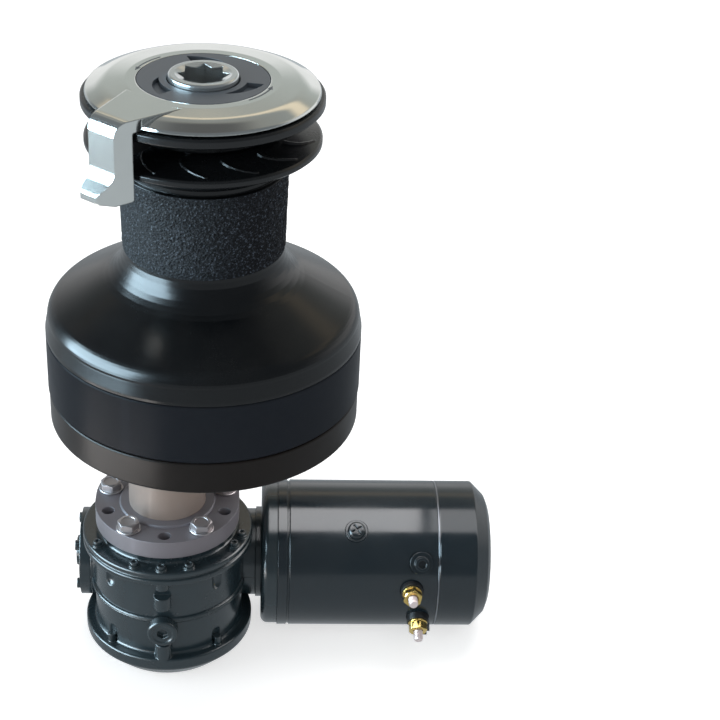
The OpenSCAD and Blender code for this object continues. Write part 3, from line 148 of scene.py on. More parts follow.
def axis_reach(tree, place):
    """How far the place is from the Z axis, and its height."""
    flat, height = flattened(tree, place)
    reach = put(tree, "ShaderNodeVectorMath", {0: flat}, operation="LENGTH")
    return reach.outputs["Value"], height


# Studio: a pale floor, soft lamps and a pale world. The photograph shows the winch and its
# drive unit in different light, so some lamps are only mirrored and some only light.

FLOOR_Z, FLOOR_REACH = -0.1493, 6.0
WORLD_LIGHT, WORLD_STRENGTH = (0.9, 0.94, 1.0, 1), 0.4

# What polished parts mirror in front of the object and in the floor
FRONT_TONE = (0.18, 0.195, 0.21, 1)
FLOOR_TONE = (0.5, 0.54, 0.57, 1)

# What they mirror behind it: the sine of the height above the floor, and the tone there
BACKDROP = ((0.0, (1.0, 1.0, 1.0)), (0.25, (1.0, 1.0, 1.0)), (0.36, (0.52, 0.55, 0.53)),
            (0.53, (0.42, 0.43, 0.4)), (0.57, (1.0, 0.86, 0.66)), (0.64, (1.0, 0.86, 0.66)),
            (0.69, (0.34, 0.36, 0.35)), (0.85, (0.32, 0.32, 0.3)), (0.92, (0.13, 0.13, 0.13)))

# The backdrop comes in where Y plus this share of X, along the floor, goes from low to high
BACKDROP_TURN, BACKDROP_LOW, BACKDROP_HIGH = 0.45, 0.05, 0.95

WINDOW, WINDOW_FACES = (-0.95, -0.25, 0.26), (0, 0, 0.06)

# Each lamp's name, place, what it faces, size, glow and colour
MIRRORED_LAMPS = (
    ("window_mirrored", WINDOW, WINDOW_FACES, (1.1, 0.85), 20.0, (0.62, 0.85, 1.0)),
    ("low_left", (-0.215, -0.15, -0.115), (-0.03, -0.03, 0.0), (0.26, 0.05), 8.0,
     (1.0, 0.94, 0.9)),
    ("over_motor", (0.075, 0.0, -0.03), (0.075, 0.0, -1), (0.09, 0.044), 5.4, (1.0, 0.99, 1.0)),
    ("over_motor_end", (0.2, 0.0, -0.03), (0.2, 0.0, -1), (0.15, 0.044), 2.6, (1.0, 0.99, 1.0)),
)
LIGHTING_LAMPS = (
    ("window_left", WINDOW, WINDOW_FACES, (0.93, 0.85), 4.0, (0.9, 0.96, 1.0)),
    ("fill_front", (0.5, -1.3, 0.9), (0, 0, 0), (1.2, 1.2), 1.3, (1.0, 0.97, 0.94)),
    ("overhead", (0.15, 0.35, 1.15), (0, 0, 0.05), (1.0, 0.7), 3.6, (1.0, 0.98, 0.95)),
)


def softbox(name, at, target, size, glow, tint, mirrored):
    """An area lamp that is only mirrored, or that only lights. Its face glows at the given
    strength, where 1 is a white surface."""
    light = bpy.data.lights.new(name, "AREA")
    light.shape = "RECTANGLE"
    light.size, light.size_y = size
    light.energy = glow * math.pi * size[0] * size[1]
    light.color = tint
    lamp = bpy.data.objects.new(name, light)
    lamp.location = at
    lamp.rotation_euler = (Vector(target) - Vector(at)).to_track_quat("-Z", "Y").to_euler()
    lamp.visible_camera = False
    lamp.visible_glossy = mirrored
    lamp.visible_diffuse = not mirrored
    scene.collection.objects.link(lamp)


def light_studio():
    world = bpy.data.worlds.new("studio")
    scene.world = world
    world.use_nodes = True
    tree = world.node_tree
    tree.nodes.clear()
    path = put(tree, "ShaderNodeLightPath").outputs
    way = put(tree, "ShaderNodeTexCoord").outputs["Generated"]
    flat, height = flattened(tree, way)
    heading = put(tree, "ShaderNodeVectorMath", {0: flat}, operation="NORMALIZE")
    along = put(tree, "ShaderNodeSeparateXYZ", {0: heading.outputs[0]}).outputs
    backward = maths(tree, "MULTIPLY_ADD", along["X"], BACKDROP_TURN, along["Y"])
    behind = remap(tree, backward, BACKDROP_LOW, BACKDROP_HIGH, 0.0, 1.0,
                   interpolation_type="SMOOTHSTEP")
    tones = put(tree, "ShaderNodeValToRGB", {0: height})
    steps = tones.color_ramp.elements
    while len(steps) < len(BACKDROP):
        steps.new(0.5)
    for step, (sine, tone) in zip(steps, BACKDROP):
        step.position = sine
        step.color = (*tone, 1.0)
    room = mixed(tree, behind, FRONT_TONE, tones.outputs[0])

    def background(tint, strength):
        return put(tree, "ShaderNodeBackground", {"Color": tint, "Strength": strength}).outputs[0]

    seen_in_gloss = background(room, 1.0)
    lighting = background(WORLD_LIGHT, WORLD_STRENGTH)
    seen = background(WHITE, 1.0)
    lighting = put(tree, "ShaderNodeMixShader",
                   {0: path["Is Glossy Ray"], 1: lighting, 2: seen_in_gloss}).outputs[0]
    world_shader = put(tree, "ShaderNodeMixShader",
                       {0: path["Is Camera Ray"], 1: lighting, 2: seen}).outputs[0]
    put(tree, "ShaderNodeOutputWorld", {0: world_shader})

    for lamp in MIRRORED_LAMPS:
        softbox(*lamp, mirrored=True)
    for lamp in LIGHTING_LAMPS:
        softbox(*lamp, mirrored=False)


def lay_floor():
    """A pale floor that takes the object's shadow and fades into the white behind it."""
    reach, z = FLOOR_REACH, FLOOR_Z
    mesh = bpy.data.meshes.new("floor")
    mesh.from_pydata([(-reach, -reach, z), (reach, -reach, z), (reach, reach, z),
                      (-reach, reach, z)], [], [(0, 1, 2, 3)])
    floor = bpy.data.objects.new("floor", mesh)
    scene.collection.objects.link(floor)
    paint = bpy.data.materials.new("pale_floor")
    paint.use_nodes = True
    tree = paint.node_tree
    tree.nodes.clear()
    path = put(tree, "ShaderNodeLightPath").outputs
    dull = put(tree, "ShaderNodeBsdfDiffuse", {"Color": (0.82, 0.82, 0.81, 1)}).outputs[0]
    lift = put(tree, "ShaderNodeEmission", {"Color": WHITE, "Strength": 0.6}).outputs[0]
    seen = put(tree, "ShaderNodeAddShader", {0: dull, 1: lift}).outputs[0]
    seen_in_gloss = put(tree, "ShaderNodeEmission", {"Color": FLOOR_TONE, "Strength": 1.0})
    plain = put(tree, "ShaderNodeMixShader",
                {0: path["Is Glossy Ray"], 1: dull, 2: seen_in_gloss.outputs[0]}).outputs[0]
    floor_shader = put(tree, "ShaderNodeMixShader",
                       {0: path["Is Camera Ray"], 1: plain, 2: seen}).outputs[0]
    put(tree, "ShaderNodeOutputMaterial", {0: floor_shader})
    mesh.materials.append(paint)


# Shared shader effects, as node groups that give heights, masks, distances and normals

def new_group(name, inputs, outputs):
    """An empty group. Inputs are number sockets with their values, outputs have their kinds."""
    tree = bpy.data.node_groups.new(name, "ShaderNodeTree")
    for label, value in inputs.items():
        socket = tree.interface.new_socket(label, in_out="INPUT", socket_type="NodeSocketFloat")
        socket.default_value = value
    for label, kind in outputs.items():
        tree.interface.new_socket(label, in_out="OUTPUT", socket_type="NodeSocket" + kind)
    given = tree.nodes.new("NodeGroupInput").outputs
    result = tree.nodes.new("NodeGroupOutput").inputs
    return tree, given, result


def rounded_edges():
    """Rounds the normals of sharp edges over a radius, and marks those edges for wear, where
    the rounded normal leans away from the face's own."""
    tree, given, result = new_group("rounded_edges", {"Radius": 0.0004},
                                    {"Normal": "Vector", "Edge": "Float"})
    bevel = put(tree, "ShaderNodeBevel", {"Radius": given["Radius"]}, samples=6)
    shape = put(tree, "ShaderNodeNewGeometry")
    along = put(tree, "ShaderNodeVectorMath", {0: bevel.outputs[0], 1: shape.outputs["Normal"]},
                operation="DOT_PRODUCT")
    tree.links.new(bevel.outputs[0], result["Normal"])
    tree.links.new(remap(tree, along.outputs["Value"], 0.995, 0.86, 0.0, 1.0), result["Edge"])
    return tree


def cast_skin():
    """The pebbled skin of a painted casting, with soft unevenness under it. The tone changes
    over a few centimetres, in soft clouds."""
    tree, given, result = new_group("cast_skin", {"Grain": 900.0, "Waves": 60.0},
                                    {"Height": "Float", "Tone": "Float"})
    wave_share, clouds_per_metre = 1.5, 22.0
    place = object_place(tree)
    fine = noise(tree, place, given["Grain"], 3.0, 0.6)
    broad = noise(tree, place, given["Waves"], 2.0)
    tree.links.new(maths(tree, "MULTIPLY_ADD", broad, wave_share, fine), result["Height"])
    tree.links.new(noise(tree, place, clouds_per_metre, 5.0, 0.65), result["Tone"])
    return tree


def turned_lines():
    """Fine rings left by turning round the Z axis, on side faces and on flat ends alike."""
    tree, given, result = new_group("turned_lines", {"Lines": 900.0},
                                    {"Height": "Float", "Tone": "Float"})
    place = object_place(tree)
    reach, height = axis_reach(tree, place)
    across = put(tree, "ShaderNodeCombineXYZ", {0: reach, 1: height, 2: 0.0}).outputs[0]
    tree.links.new(noise(tree, across, given["Lines"], 2.0), result["Height"])
    tree.links.new(noise(tree, place, 30.0, 3.0), result["Tone"])
    return tree


def settled_dust():
    """Uneven haze that lies thicker on faces that look up."""
    tree, given, result = new_group("settled_dust", {"Amount": 0.3}, {"Mask": "Float"})
    shape = put(tree, "ShaderNodeNewGeometry")
    up = put(tree, "ShaderNodeSeparateXYZ", {0: shape.outputs["Normal"]}).outputs[2]
    level = remap(tree, up, -0.2, 1.0, 0.25, 1.0)
    patchy = remap(tree, noise(tree, object_place(tree), 45.0, 6.0, 0.7), 0.35, 0.75, 0.0, 1.0)
    mask = maths(tree, "MULTIPLY", level, patchy)
    tree.links.new(maths(tree, "MULTIPLY", mask, given["Amount"]), result["Mask"])
    return tree


def grip_grit():
    """Coarse grit of the drum's grip: bright specks on a dark ground."""
    tree, given, result = new_group("grip_grit", {"Size": 1400.0},
                                    {"Height": "Float", "Speck": "Float"})
    place = object_place(tree)
    grains = put(tree, "ShaderNodeTexVoronoi", {"Vector": place, "Scale": given["Size"]},
                 feature="F1")
    rough = noise(tree, place, given["Size"], 4.0, 0.75)
    tree.links.new(maths(tree, "SUBTRACT", rough, grains.outputs["Distance"]), result["Height"])
    tree.links.new(remap(tree, rough, 0.54, 0.68, 0.0, 1.0), result["Speck"])
    return tree


def axis_distance():
    """Distance from the winch's upright axis."""
    tree, given, result = new_group("axis_distance", {}, {"Distance": "Float"})
    tree.links.new(axis_reach(tree, object_place(tree))[0], result["Distance"])
    return tree


GROUPS = {group.name: group for group in (rounded_edges(), cast_skin(), turned_lines(),
                                          settled_dust(), grip_grit(), axis_distance())}


def effect(tree, name, inputs=None):
    node = tree.nodes.new("ShaderNodeGroup")
    node.node_tree = GROUPS[name]
    for label, value in (inputs or {}).items():
        node.inputs[label].default_value = value
    return node.outputs


# Materials

def colour(r, g, b):
    """A colour as it shows on a screen, 0 to 255, as the linear value that a shader takes."""
    def linear(c):
        c /= 255
        return c / 12.92 if c <= 0.04045 else ((c + 0.055) / 1.055) ** 2.4
    return (linear(r), linear(g), linear(b), 1.0)


def darkened(tint, share):
    return tuple(c * share for c in tint[:3]) + (1.0,)


DUST_TINT = colour(150, 148, 142)


def blank(name, metallic=0.0, ior=1.5):
    material = bpy.data.materials.new(name)
    material.use_nodes = True
    tree = material.node_tree
    shader = tree.nodes["Principled BSDF"]
    shader.inputs["Metallic"].default_value = metallic
    shader.inputs["IOR"].default_value = ior
    return material, tree, shader


def finish(tree, shader, base, rough, height, depth, step, edges=None):
    """Joins colour, roughness and relief to the shader; edges are the rounded normals that the
    relief lies on."""
    tree.links.new(base, shader.inputs["Base Color"])
    tree.links.new(rough, shader.inputs["Roughness"])
    bump = put(tree, "ShaderNodeBump", {"Strength": depth, "Distance": step, "Height": height})
    if edges is not None:
        tree.links.new(edges, bump.inputs["Normal"])
    tree.links.new(bump.outputs[0], shader.inputs["Normal"])


def painted(name, tint, worn, rough, radius=0.0005, grain=900.0, waves=60.0, depth=0.12,
            dust=0.12, metallic=0.0, wear=0.35, ior=1.5):
    """A painted or coated casting: pebbled skin, worn edges and a little dust."""
    material, tree, shader = blank(name, metallic, ior)
    rim = effect(tree, "rounded_edges", {"Radius": radius})
    skin = effect(tree, "cast_skin", {"Grain": grain, "Waves": waves})
    haze = effect(tree, "settled_dust", {"Amount": dust})
    base = mixed(tree, ranged(tree, skin["Tone"], 0.0, 0.5), tint, darkened(tint, 0.72))
    rubbed = maths(tree, "MULTIPLY", rim["Edge"], ranged(tree, skin["Tone"], 0.0, wear))
    base = mixed(tree, rubbed, base, worn)
    base = mixed(tree, haze["Mask"], base, DUST_TINT)
    finish(tree, shader, base, ranged(tree, skin["Tone"], rough - 0.05, rough + 0.07),
           skin["Height"], depth, 0.0002, rim["Normal"])
    return material


def turned(name, tint, dark, rough, metallic=1.0):
    """A turned or ground metal."""
    material, tree, shader = blank(name, metallic)
    rim = effect(tree, "rounded_edges", {"Radius": 0.0003})
    cut = effect(tree, "turned_lines", {"Lines": 1500.0})
    base = mixed(tree, ranged(tree, cut["Tone"], 0.0, 0.7), tint, dark)
    finish(tree, shader, base, ranged(tree, cut["Tone"], rough - 0.04, rough + 0.1),
           cut["Height"], 0.1, 0.0001, rim["Normal"])
    return material


def moulded(name, tint, rough, radius=0.0004, depth=0.08):
    """A moulded plastic or rubber."""
    material, tree, shader = blank(name)
    rim = effect(tree, "rounded_edges", {"Radius": radius})
    skin = effect(tree, "cast_skin", {"Grain": 1600.0, "Waves": 30.0})
    lighter = tuple(min(1.0, c * 1.5 + 0.004) for c in tint[:3]) + (1.0,)
    base = mixed(tree, ranged(tree, skin["Tone"], 0.0, 0.5), tint, lighter)
    finish(tree, shader, base, ranged(tree, skin["Tone"], rough - 0.04, rough + 0.06),
           skin["Height"], depth, 0.0002, rim["Normal"])
    return material


def gritted(name, ground, speck):
    """A coating with hard grit in it, whose specks are smoother than the ground."""
    material, tree, shader = blank(name, ior=1.3)
    grit = effect(tree, "grip_grit", {"Size": 900.0})
    base = mixed(tree, grit["Speck"], ground, speck)
    rough = remap(tree, grit["Speck"], 0.0, 1.0, 0.75, 0.35)
    finish(tree, shader, base, rough, grit["Height"], 0.9, 0.0004)
    return material


def polished(name, tint, rough, satin_from):
    """A polished casting that turns a little duller beyond satin_from, a distance from the Z
    axis in metres."""
    material, tree, shader = blank(name, metallic=1.0)
    rim = effect(tree, "rounded_edges", {"Radius": 0.0009})
    skin = effect(tree, "cast_skin", {"Grain": 2600.0, "Waves": 25.0})
    reach = effect(tree, "axis_distance")["Distance"]
    satin_width, satin_rough = 0.004, 0.05
    satin = remap(tree, reach, satin_from, satin_from + satin_width, 0.0, satin_rough)
    base = mixed(tree, ranged(tree, skin["Tone"], 0.0, 0.6), tint, darkened(tint, 0.86))
    sheen = maths(tree, "ADD", ranged(tree, skin["Tone"], rough, rough + 0.05), satin)
    finish(tree, shader, base, sheen, skin["Height"], 0.03, 0.0001, rim["Normal"])
    return material


MATERIALS = {
    "bronze": painted("dark_bronze", colour(27, 23, 21), colour(84, 74, 64), 0.34,
                      depth=0.06, dust=0.02, ior=1.27),
    "alloy": turned("machined_alloy", colour(165, 168, 172), colour(120, 123, 128), 0.3),
    "black_shell": painted("black_shell", colour(5, 8, 11), colour(46, 52, 58), 0.23,
                           grain=2600.0, waves=12.0, depth=0.01, dust=0.01, wear=0.1, ior=1.44),
    "slate_shell": painted("slate_shell", colour(33, 37, 43), colour(56, 62, 68), 0.34,
                           grain=2600.0, waves=12.0, depth=0.03, dust=0.03, wear=0.15, ior=1.12),
    "steel": turned("stainless", colour(196, 198, 200), colour(138, 141, 146), 0.2),
    "socket_steel": turned("socket_steel", colour(214, 218, 218), colour(166, 172, 174), 0.16,
                           metallic=0.9),
    "zinc": turned("zinc_plate", colour(176, 170, 170), colour(136, 130, 132), 0.36,
                   metallic=0.8),
    "gear_steel": turned("gear_steel", colour(150, 153, 158), colour(100, 103, 108), 0.34),
    "gear_bronze": turned("gear_bronze", colour(190, 150, 92), colour(130, 98, 56), 0.34),
    "acetal": moulded("acetal", colour(214, 205, 176), 0.45),
    "jaw_black": moulded("jaw_black", colour(9, 11, 13), 0.24, radius=0.0007),
    "chrome": polished("polished_chrome", colour(222, 225, 222), 0.075, satin_from=0.0575),
    "cap_grey": moulded("slate_cap", colour(62, 68, 74), 0.4, depth=0.05),
    "black_plastic": moulded("black_plastic", colour(24, 26, 28), 0.42),
    "grip": gritted("drum_grip", colour(17, 19, 23), colour(90, 101, 114)),
    "tube_bronze": painted("beige_bronze", colour(166, 149, 138), colour(196, 182, 168), 0.55,
                           depth=0.2, metallic=0.1),
    "flange_grey": painted("purple_grey", colour(126, 122, 128), colour(160, 156, 162), 0.5,
                           depth=0.15, dust=0.08, metallic=0.15),
    "gear_paint": painted("gearbox_enamel", colour(34, 48, 54), colour(96, 104, 106), 0.24,
                          radius=0.0009, grain=500.0, waves=90.0, depth=0.08, dust=0.04,
                          ior=1.6),
    "motor_paint": painted("motor_enamel", colour(20, 33, 40), colour(70, 80, 86), 0.19,
                           radius=0.0006, grain=700.0, waves=30.0, depth=0.02, dust=0.02,
                           ior=1.6),
    "magnet": painted("ferrite", colour(58, 58, 62), colour(90, 90, 92), 0.6),
    "copper": turned("copper", colour(200, 128, 84), colour(150, 84, 50), 0.25),
    "brush_board": moulded("fibre_board", colour(92, 70, 50), 0.6),
    "carbon": moulded("carbon_block", colour(42, 42, 44), 0.5),
    "brass": turned("brass", colour(232, 204, 128), colour(190, 158, 86), 0.2),
    "stud": turned("stud_plate", colour(236, 222, 220), colour(206, 190, 188), 0.4,
                   metallic=0.5),
}

# Nodes whose finish isn't their slot's own
NODE_FINISH = {"gearbox_screws": "gear_paint", "field_screw": "motor_paint",
               "lower_skirt": "slate_shell", "yoke_fittings": "motor_paint",
               "main_spindle": "socket_steel"}


def dress_nodes():
    slots = {part["node"]: part["material_slot"] for part in frame["record"]["subparts"]}
    for name, obj in nodes.items():
        obj.data.materials.clear()
        obj.data.materials.append(MATERIALS[NODE_FINISH.get(name, slots[name])])


# Mesh helpers

def round_point(radius, angle, height, centre_x=0.0):
    """A point at an angle round the Z axis, or round one beside it; mm in, metres out."""
    return Vector(((centre_x + radius * math.cos(angle)) * MM, radius * math.sin(angle) * MM,
                   height * MM))


def skin(form, rows, ends=False):
    """Joins each row of corners to the next. The last joins the first, or, with ends, both
    are closed by a face."""
    for here, there in zip(rows, rows[1:] if ends else rows[1:] + rows[:1]):
        for i in range(len(here)):
            n = (i + 1) % len(here)
            form.faces.new((here[i], there[i], there[n], here[n]))
    if ends:
        form.faces.new(rows[0])
        form.faces.new(rows[-1][::-1])


def new_piece(name, form, finish_name):
    """The object of a mesh that is ready, with its faces turned outwards."""
    bmesh.ops.recalc_face_normals(form, faces=form.faces)
    mesh = bpy.data.meshes.new(name)
    form.to_mesh(mesh)
    form.free()
    mesh.materials.append(MATERIALS[finish_name])
    piece = bpy.data.objects.new(name, mesh)
    scene.collection.objects.link(piece)
    return piece


def shell(name, outline, turns, finish_name, place=Matrix()):
    """Closed shell made of the outline turned round Z; outline(angle) gives its (r, z) points
    in mm."""
    form = bmesh.new()
    rows = []
    for k in range(turns):
        angle = 2 * math.pi * k / turns
        rows.append([form.verts.new(place @ round_point(r, angle, z)) for r, z in outline(angle)])
    skin(form, rows)
    bmesh.ops.remove_doubles(form, verts=form.verts, dist=1e-7)
    bmesh.ops.dissolve_degenerate(form, edges=form.edges, dist=1e-7)
    return new_piece(name, form, finish_name)


def joined(name, pieces, finish_name):
    """One object out of several of the same finish."""
    form = bmesh.new()
    for piece in pieces:
        form.from_mesh(piece.data)
        bpy.data.objects.remove(piece)
    return new_piece(name, form, finish_name)


def shade(piece):
    """Smooth faces, with sharp edges where two faces meet at more than 30 degrees."""
    piece.data.shade_smooth()
    piece.data.set_sharp_from_angle(angle=math.radians(30))


def hexagon(across, angle, turn=0.0):
    """Radius of a hexagon with the width across its flats, at the angle."""
    sixth = math.pi / 3
    return across / 2 / math.cos((angle - turn) % sixth - sixth / 2)


def ring_of_pieces(name, piece, count, radius, start, centre):
    """Sets the piece round a circle by Geometry Nodes and returns one plain mesh of them all.
    Sizes are in mm and start is in degrees."""
    tree = bpy.data.node_groups.new(name, "GeometryNodeTree")
    sockets = {}
    for label, kind in (("Geometry", "Geometry"), ("Count", "Int"), ("Circle Radius", "Float"),
                        ("Start Angle", "Float"), ("Centre", "Vector"), ("Finish", "Material")):
        sockets[label] = tree.interface.new_socket(label, in_out="INPUT",
                                                   socket_type="NodeSocket" + kind).identifier
    tree.interface.new_socket("Geometry", in_out="OUTPUT", socket_type="NodeSocketGeometry")
    given = tree.nodes.new("NodeGroupInput").outputs
    step = maths(tree, "DIVIDE", 2 * math.pi, given["Count"])
    index = put(tree, "GeometryNodeInputIndex").outputs[0]
    angle = maths(tree, "MULTIPLY_ADD", index, step, given["Start Angle"])
    east = put(tree, "ShaderNodeCombineXYZ", {0: given["Circle Radius"], 1: 0.0, 2: 0.0})
    outward = put(tree, "ShaderNodeVectorRotate", {0: east.outputs[0], "Angle": angle},
                  rotation_type="Z_AXIS")
    spot = put(tree, "ShaderNodeVectorMath", {0: outward.outputs[0], 1: given["Centre"]},
               operation="ADD")
    points = put(tree, "GeometryNodePoints",
                 {"Count": given["Count"], "Position": spot.outputs[0]})
    heading = put(tree, "ShaderNodeCombineXYZ", {0: 0.0, 1: 0.0, 2: angle})
    turn = put(tree, "FunctionNodeEulerToRotation", {0: heading.outputs[0]})
    set_out = put(tree, "GeometryNodeInstanceOnPoints",
                  {"Points": points.outputs[0], "Instance": given["Geometry"],
                   "Rotation": turn.outputs[0]})
    solid = put(tree, "GeometryNodeRealizeInstances", {0: set_out.outputs[0]})
    dressed = put(tree, "GeometryNodeSetMaterial",
                  {"Geometry": solid.outputs[0], "Material": given["Finish"]})
    tree.links.new(dressed.outputs[0], tree.nodes.new("NodeGroupOutput").inputs[0])

    modifier = piece.modifiers.new(name, "NODES")
    modifier.node_group = tree
    for label, value in (("Count", count), ("Circle Radius", radius * MM),
                         ("Start Angle", math.radians(start)),
                         ("Centre", tuple(c * MM for c in centre)),
                         ("Finish", piece.data.materials[0])):
        modifier[sockets[label]] = value
    seen = piece.evaluated_get(bpy.context.evaluated_depsgraph_get())
    mesh = bpy.data.meshes.new_from_object(seen)
    mesh.name = name
    bpy.data.objects.remove(piece)
    whole = bpy.data.objects.new(name, mesh)
    scene.collection.objects.link(whole)
    return whole


# Pieces that stand for, or lie on, the CAD solids; their sizes are in mm

def flange_bolts():
    """Five hexagon bolts with washers that hold the gearbox to its flange."""
    top, tip = -59.1, -78.0
    shank_r, washer_r, washer_h = 3.0, 6.4, 1.2
    across, head_top, face_r, chamfer_r, dish_r = 10.0, 5.2, 5.2, 4.75, 3.6

    def outline(angle):
        flat = hexagon(across, angle)
        shoulder = top + head_top - max(0.0, flat - chamfer_r) * CHAMFER_SLOPE
        return [(0, tip), (shank_r - 0.5, tip), (shank_r, tip + 0.5), (shank_r, top),
                (washer_r - 0.3, top), (washer_r, top + 0.3), (washer_r, top + washer_h - 0.3),
                (washer_r - 0.3, top + washer_h), (min(flat, face_r), top + washer_h),
                (flat, top + washer_h + 0.3), (flat, shoulder - 0.2),
                (min(flat, chamfer_r), top + head_top - 0.15), (dish_r, top + head_top - 0.05),
                (dish_r - 0.2, top + head_top - 0.35), (0, top + head_top - 0.35)]

    bolt = shell("flange_bolt", outline, 48, "zinc")
    bolts = ring_of_pieces("flange_bolt_ring", bolt, 5, 32.0, -126, (GEARBOX_X, 0, 0))
    shade(bolts)
    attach(bolts, "deck_unit")
    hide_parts("flange_bolts")


def jaw_springs():
    """Eight coil springs under the lower jaw."""
    foot, tall, coil_r, wire_r = 133.0, 10.6, 1.85, 0.34
    coils, steps, sides = 6, 96, 8
    form = bmesh.new()
    rows = []
    for k in range(steps + 1):
        angle = 2 * math.pi * coils * k / steps
        middle = foot + wire_r + (tall - 2 * wire_r) * k / steps
        row = []
        for i in range(sides):
            turn = 2 * math.pi * i / sides
            row.append(form.verts.new(round_point(coil_r + wire_r * math.cos(turn), angle,
                                                  middle + wire_r * math.sin(turn))))
        rows.append(row)
    skin(form, rows, ends=True)
    spring = new_piece("jaw_spring", form, "steel")
    springs = ring_of_pieces("jaw_spring_ring", spring, 8, 35.4, 0, (0, 0, 0))
    shade(springs)
    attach(springs, "drum_unit")
    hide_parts("jaw_springs")
    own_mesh(springs)


def on_yoke(x, up):
    """Local Z points out of the motor's surface, at x along it and turned up from the front."""
    return (Matrix.Translation(Vector((x, MOTOR_Y, MOTOR_Z)) * MM)
            @ Matrix.Rotation(math.radians(90 - up), 4, "X")
            @ Matrix.Translation((0, 0, YOKE_R * MM)))


def terminal_pieces():
    """Brass nuts with washers, and the threaded studs that stand out of them."""
    across, top, face_r, chamfer_r = 9.2, 8.8, 4.7, 4.4
    bore_r, washer_r, washer_foot, washer_top = 2.55, 5.2, 3.2, 4.2
    thread_r, root_r, pitch = 2.5, 2.12, 0.8
    shank_r, foot, thread_from, thread_to, tip = 2.3, -6.0, 8.6, 13.3, 14.1

    def nut(angle):
        flat = hexagon(across, angle, math.radians(20))
        shoulder = top - max(0.0, flat - chamfer_r) * CHAMFER_SLOPE
        return [(bore_r, washer_foot), (washer_r - 0.3, washer_foot),
                (washer_r, washer_foot + 0.2), (washer_r, washer_top - 0.2),
                (washer_r - 0.3, washer_top), (min(flat, face_r), washer_top + 0.05),
                (flat, washer_top + 0.4), (flat, shoulder - 0.15), (min(flat, chamfer_r), top),
                (bore_r + 0.55, top), (bore_r, top - 0.4)]

    def stud(angle):
        rows = [(0, foot), (shank_r, foot), (shank_r, thread_from - 0.1)]
        z = thread_from
        while z < thread_to:
            rows += [(root_r, z), (thread_r, z + pitch * 0.4), (thread_r, z + pitch * 0.55)]
            z += pitch
        return rows + [(2.1, tip - 0.2), (1.9, tip), (0, tip)]

    nuts = joined("terminal_nut_pair",
                  [shell("nut", nut, 48, "brass", on_yoke(*spot)) for spot in TERMINALS],
                  "brass")
    studs = joined("terminal_stud_pair",
                   [shell("stud", stud, 32, "stud", on_yoke(*spot)) for spot in TERMINALS],
                   "stud")
    for piece, node, slot in ((nuts, "terminal_nuts", "brass"),
                              (studs, "terminal_studs", "steel")):
        shade(piece)
        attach(piece, "deck_unit")
        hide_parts(node)


def seam_ring():
    """Bright ring that shows where the end cap meets the motor's yoke."""
    along = (Matrix.Translation(Vector((0, MOTOR_Y, MOTOR_Z)) * MM)
             @ Matrix.Rotation(math.radians(90), 4, "Y"))
    middle, outside, inside = 125.7, YOKE_R - 0.05, YOKE_R - 1.4
    profile = [(inside, middle - 0.65), (outside - 0.2, middle - 0.5), (outside, middle - 0.2),
               (outside, middle + 0.2), (outside - 0.2, middle + 0.5), (inside, middle + 0.65)]
    ring = shell("yoke_seam_ring", lambda angle: profile, 128, "gear_steel", along)
    shade(ring)
    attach(ring, "deck_unit")


def parting_bead():
    """Rounded bead round the front of the gearbox, where its halves meet, from one side of the
    worm's tunnel to the other."""
    start, sweep, steps = -171.5, 163, 72
    profile = [(39.2, 1.7), (40.5, 1.7), (41.3, 1.35), (41.7, 0.75), (41.7, 0.35), (41.2, 0.1),
               (41.2, -0.1), (41.5, -0.5), (41.3, -1.2), (40.6, -2.0), (39.2, -2.4)]
    form = bmesh.new()
    rows = []
    for k in range(steps + 1):
        angle = math.radians(start + sweep * k / steps)
        rows.append([form.verts.new(round_point(r, angle, MOTOR_Z + h, GEARBOX_X))
                     for r, h in profile])
    skin(form, rows, ends=True)
    bead = new_piece("gearbox_parting_bead", form, "gear_paint")
    shade(bead)
    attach(bead, "deck_unit")


def grain(i, j, seed):
    """A repeatable number from 0 to 1 for a point of a grid."""
    value = math.sin(i * 127.1 + j * 311.7 + seed * 74.7) * 43758.5453
    return value - math.floor(value)


def drum_radius(z):
    """The drum's radius under its grip at a height."""
    for (z0, r0), (z1, r1) in zip(GRIP_OUTLINE, GRIP_OUTLINE[1:]):
        if z <= z1:
            return r0 + (r1 - r0) * (z - z0) / (z1 - z0)
    return GRIP_OUTLINE[-1][1]


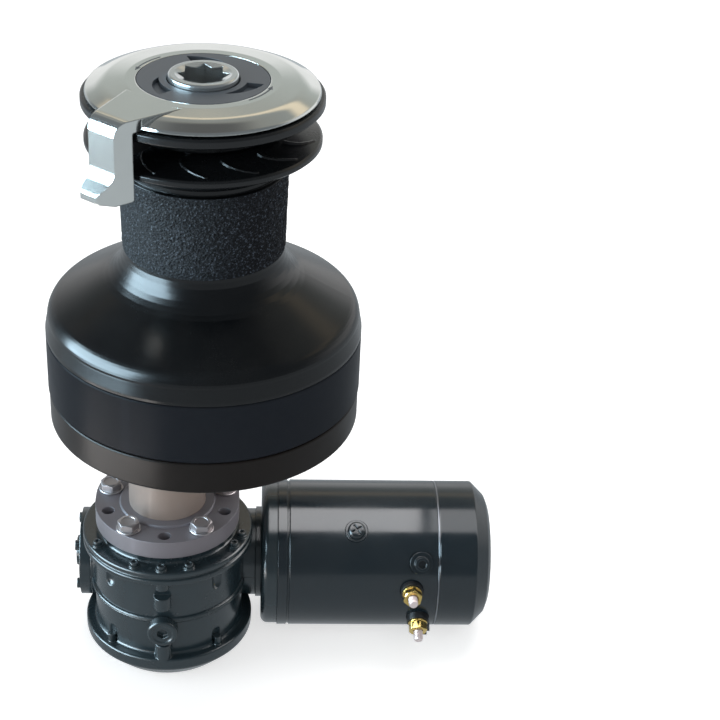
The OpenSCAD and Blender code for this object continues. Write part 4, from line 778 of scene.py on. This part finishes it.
def grip_sleeve():
    """The drum's gritted grip: a thin sleeve whose outside stands up in uneven grains."""
    low, high, around, rows = 94.6, 136.8, 330, 55
    proud, grain_h, clump_h, grain_shift, wall = 0.05, 0.42, 0.16, 0.25, 1.2
    form = bmesh.new()
    grid = []
    for j in range(rows + 1):
        z = low + (high - low) * j / rows
        fade = min(1.0, j / 2, (rows - j) / 2)
        row = []
        for i in range(around):
            angle = 2 * math.pi * (i + 0.5 * (j % 2)) / around
            height = grain_h * grain(i, j, 1) ** 2 + clump_h * grain(i // 3, j // 3, 2)
            shift = grain_shift * (grain(i, j, 3) - 0.5) * fade
            row.append(form.verts.new(round_point(drum_radius(z) + proud + height * fade, angle,
                                                  z + shift)))
        grid.append(row)
    for z in (high, low):
        grid.append([form.verts.new(round_point(drum_radius(z) - wall, 2 * math.pi * i / around,
                                                z)) for i in range(around)])
    skin(form, grid)
    sleeve = new_piece("drum_grip_sleeve", form, "grip")
    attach(sleeve, "drum_unit")


def crown_arrows():
    """Two small curved arrows set in the crown's flat ring, which show the way the drum
    turns."""
    top, proud, sunk = 179.7, 0.05, 0.4
    inner_r, outer_r, middle_r, head_half = 32.5, 33.3, 32.9, 1.3
    tail, step, steps, neck, point = -50, 3, 11, -21, -14
    form = bmesh.new()

    def plate(corners):
        """A flat plate with (radius, degrees) corners."""
        low, high = ([form.verts.new(round_point(r, math.radians(a), z)) for r, a in corners]
                     for z in (top - sunk, top + proud))
        skin(form, [low, high], ends=True)

    for turn in (0, 180):
        angles = [tail + step * k + turn for k in range(steps)]
        plate([(outer_r, a) for a in angles] + [(inner_r, a) for a in reversed(angles)])
        plate([(middle_r + head_half, neck + turn), (middle_r, point + turn),
               (middle_r - head_half, neck + turn)])
    arrows = new_piece("crown_arrow_inlay", form, "cap_grey")
    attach(arrows, "deck_unit")


aim_camera()
light_studio()
lay_floor()
dress_nodes()
flange_bolts()
jaw_springs()
terminal_pieces()
seam_ring()
parting_bead()
grip_sleeve()
crown_arrows()
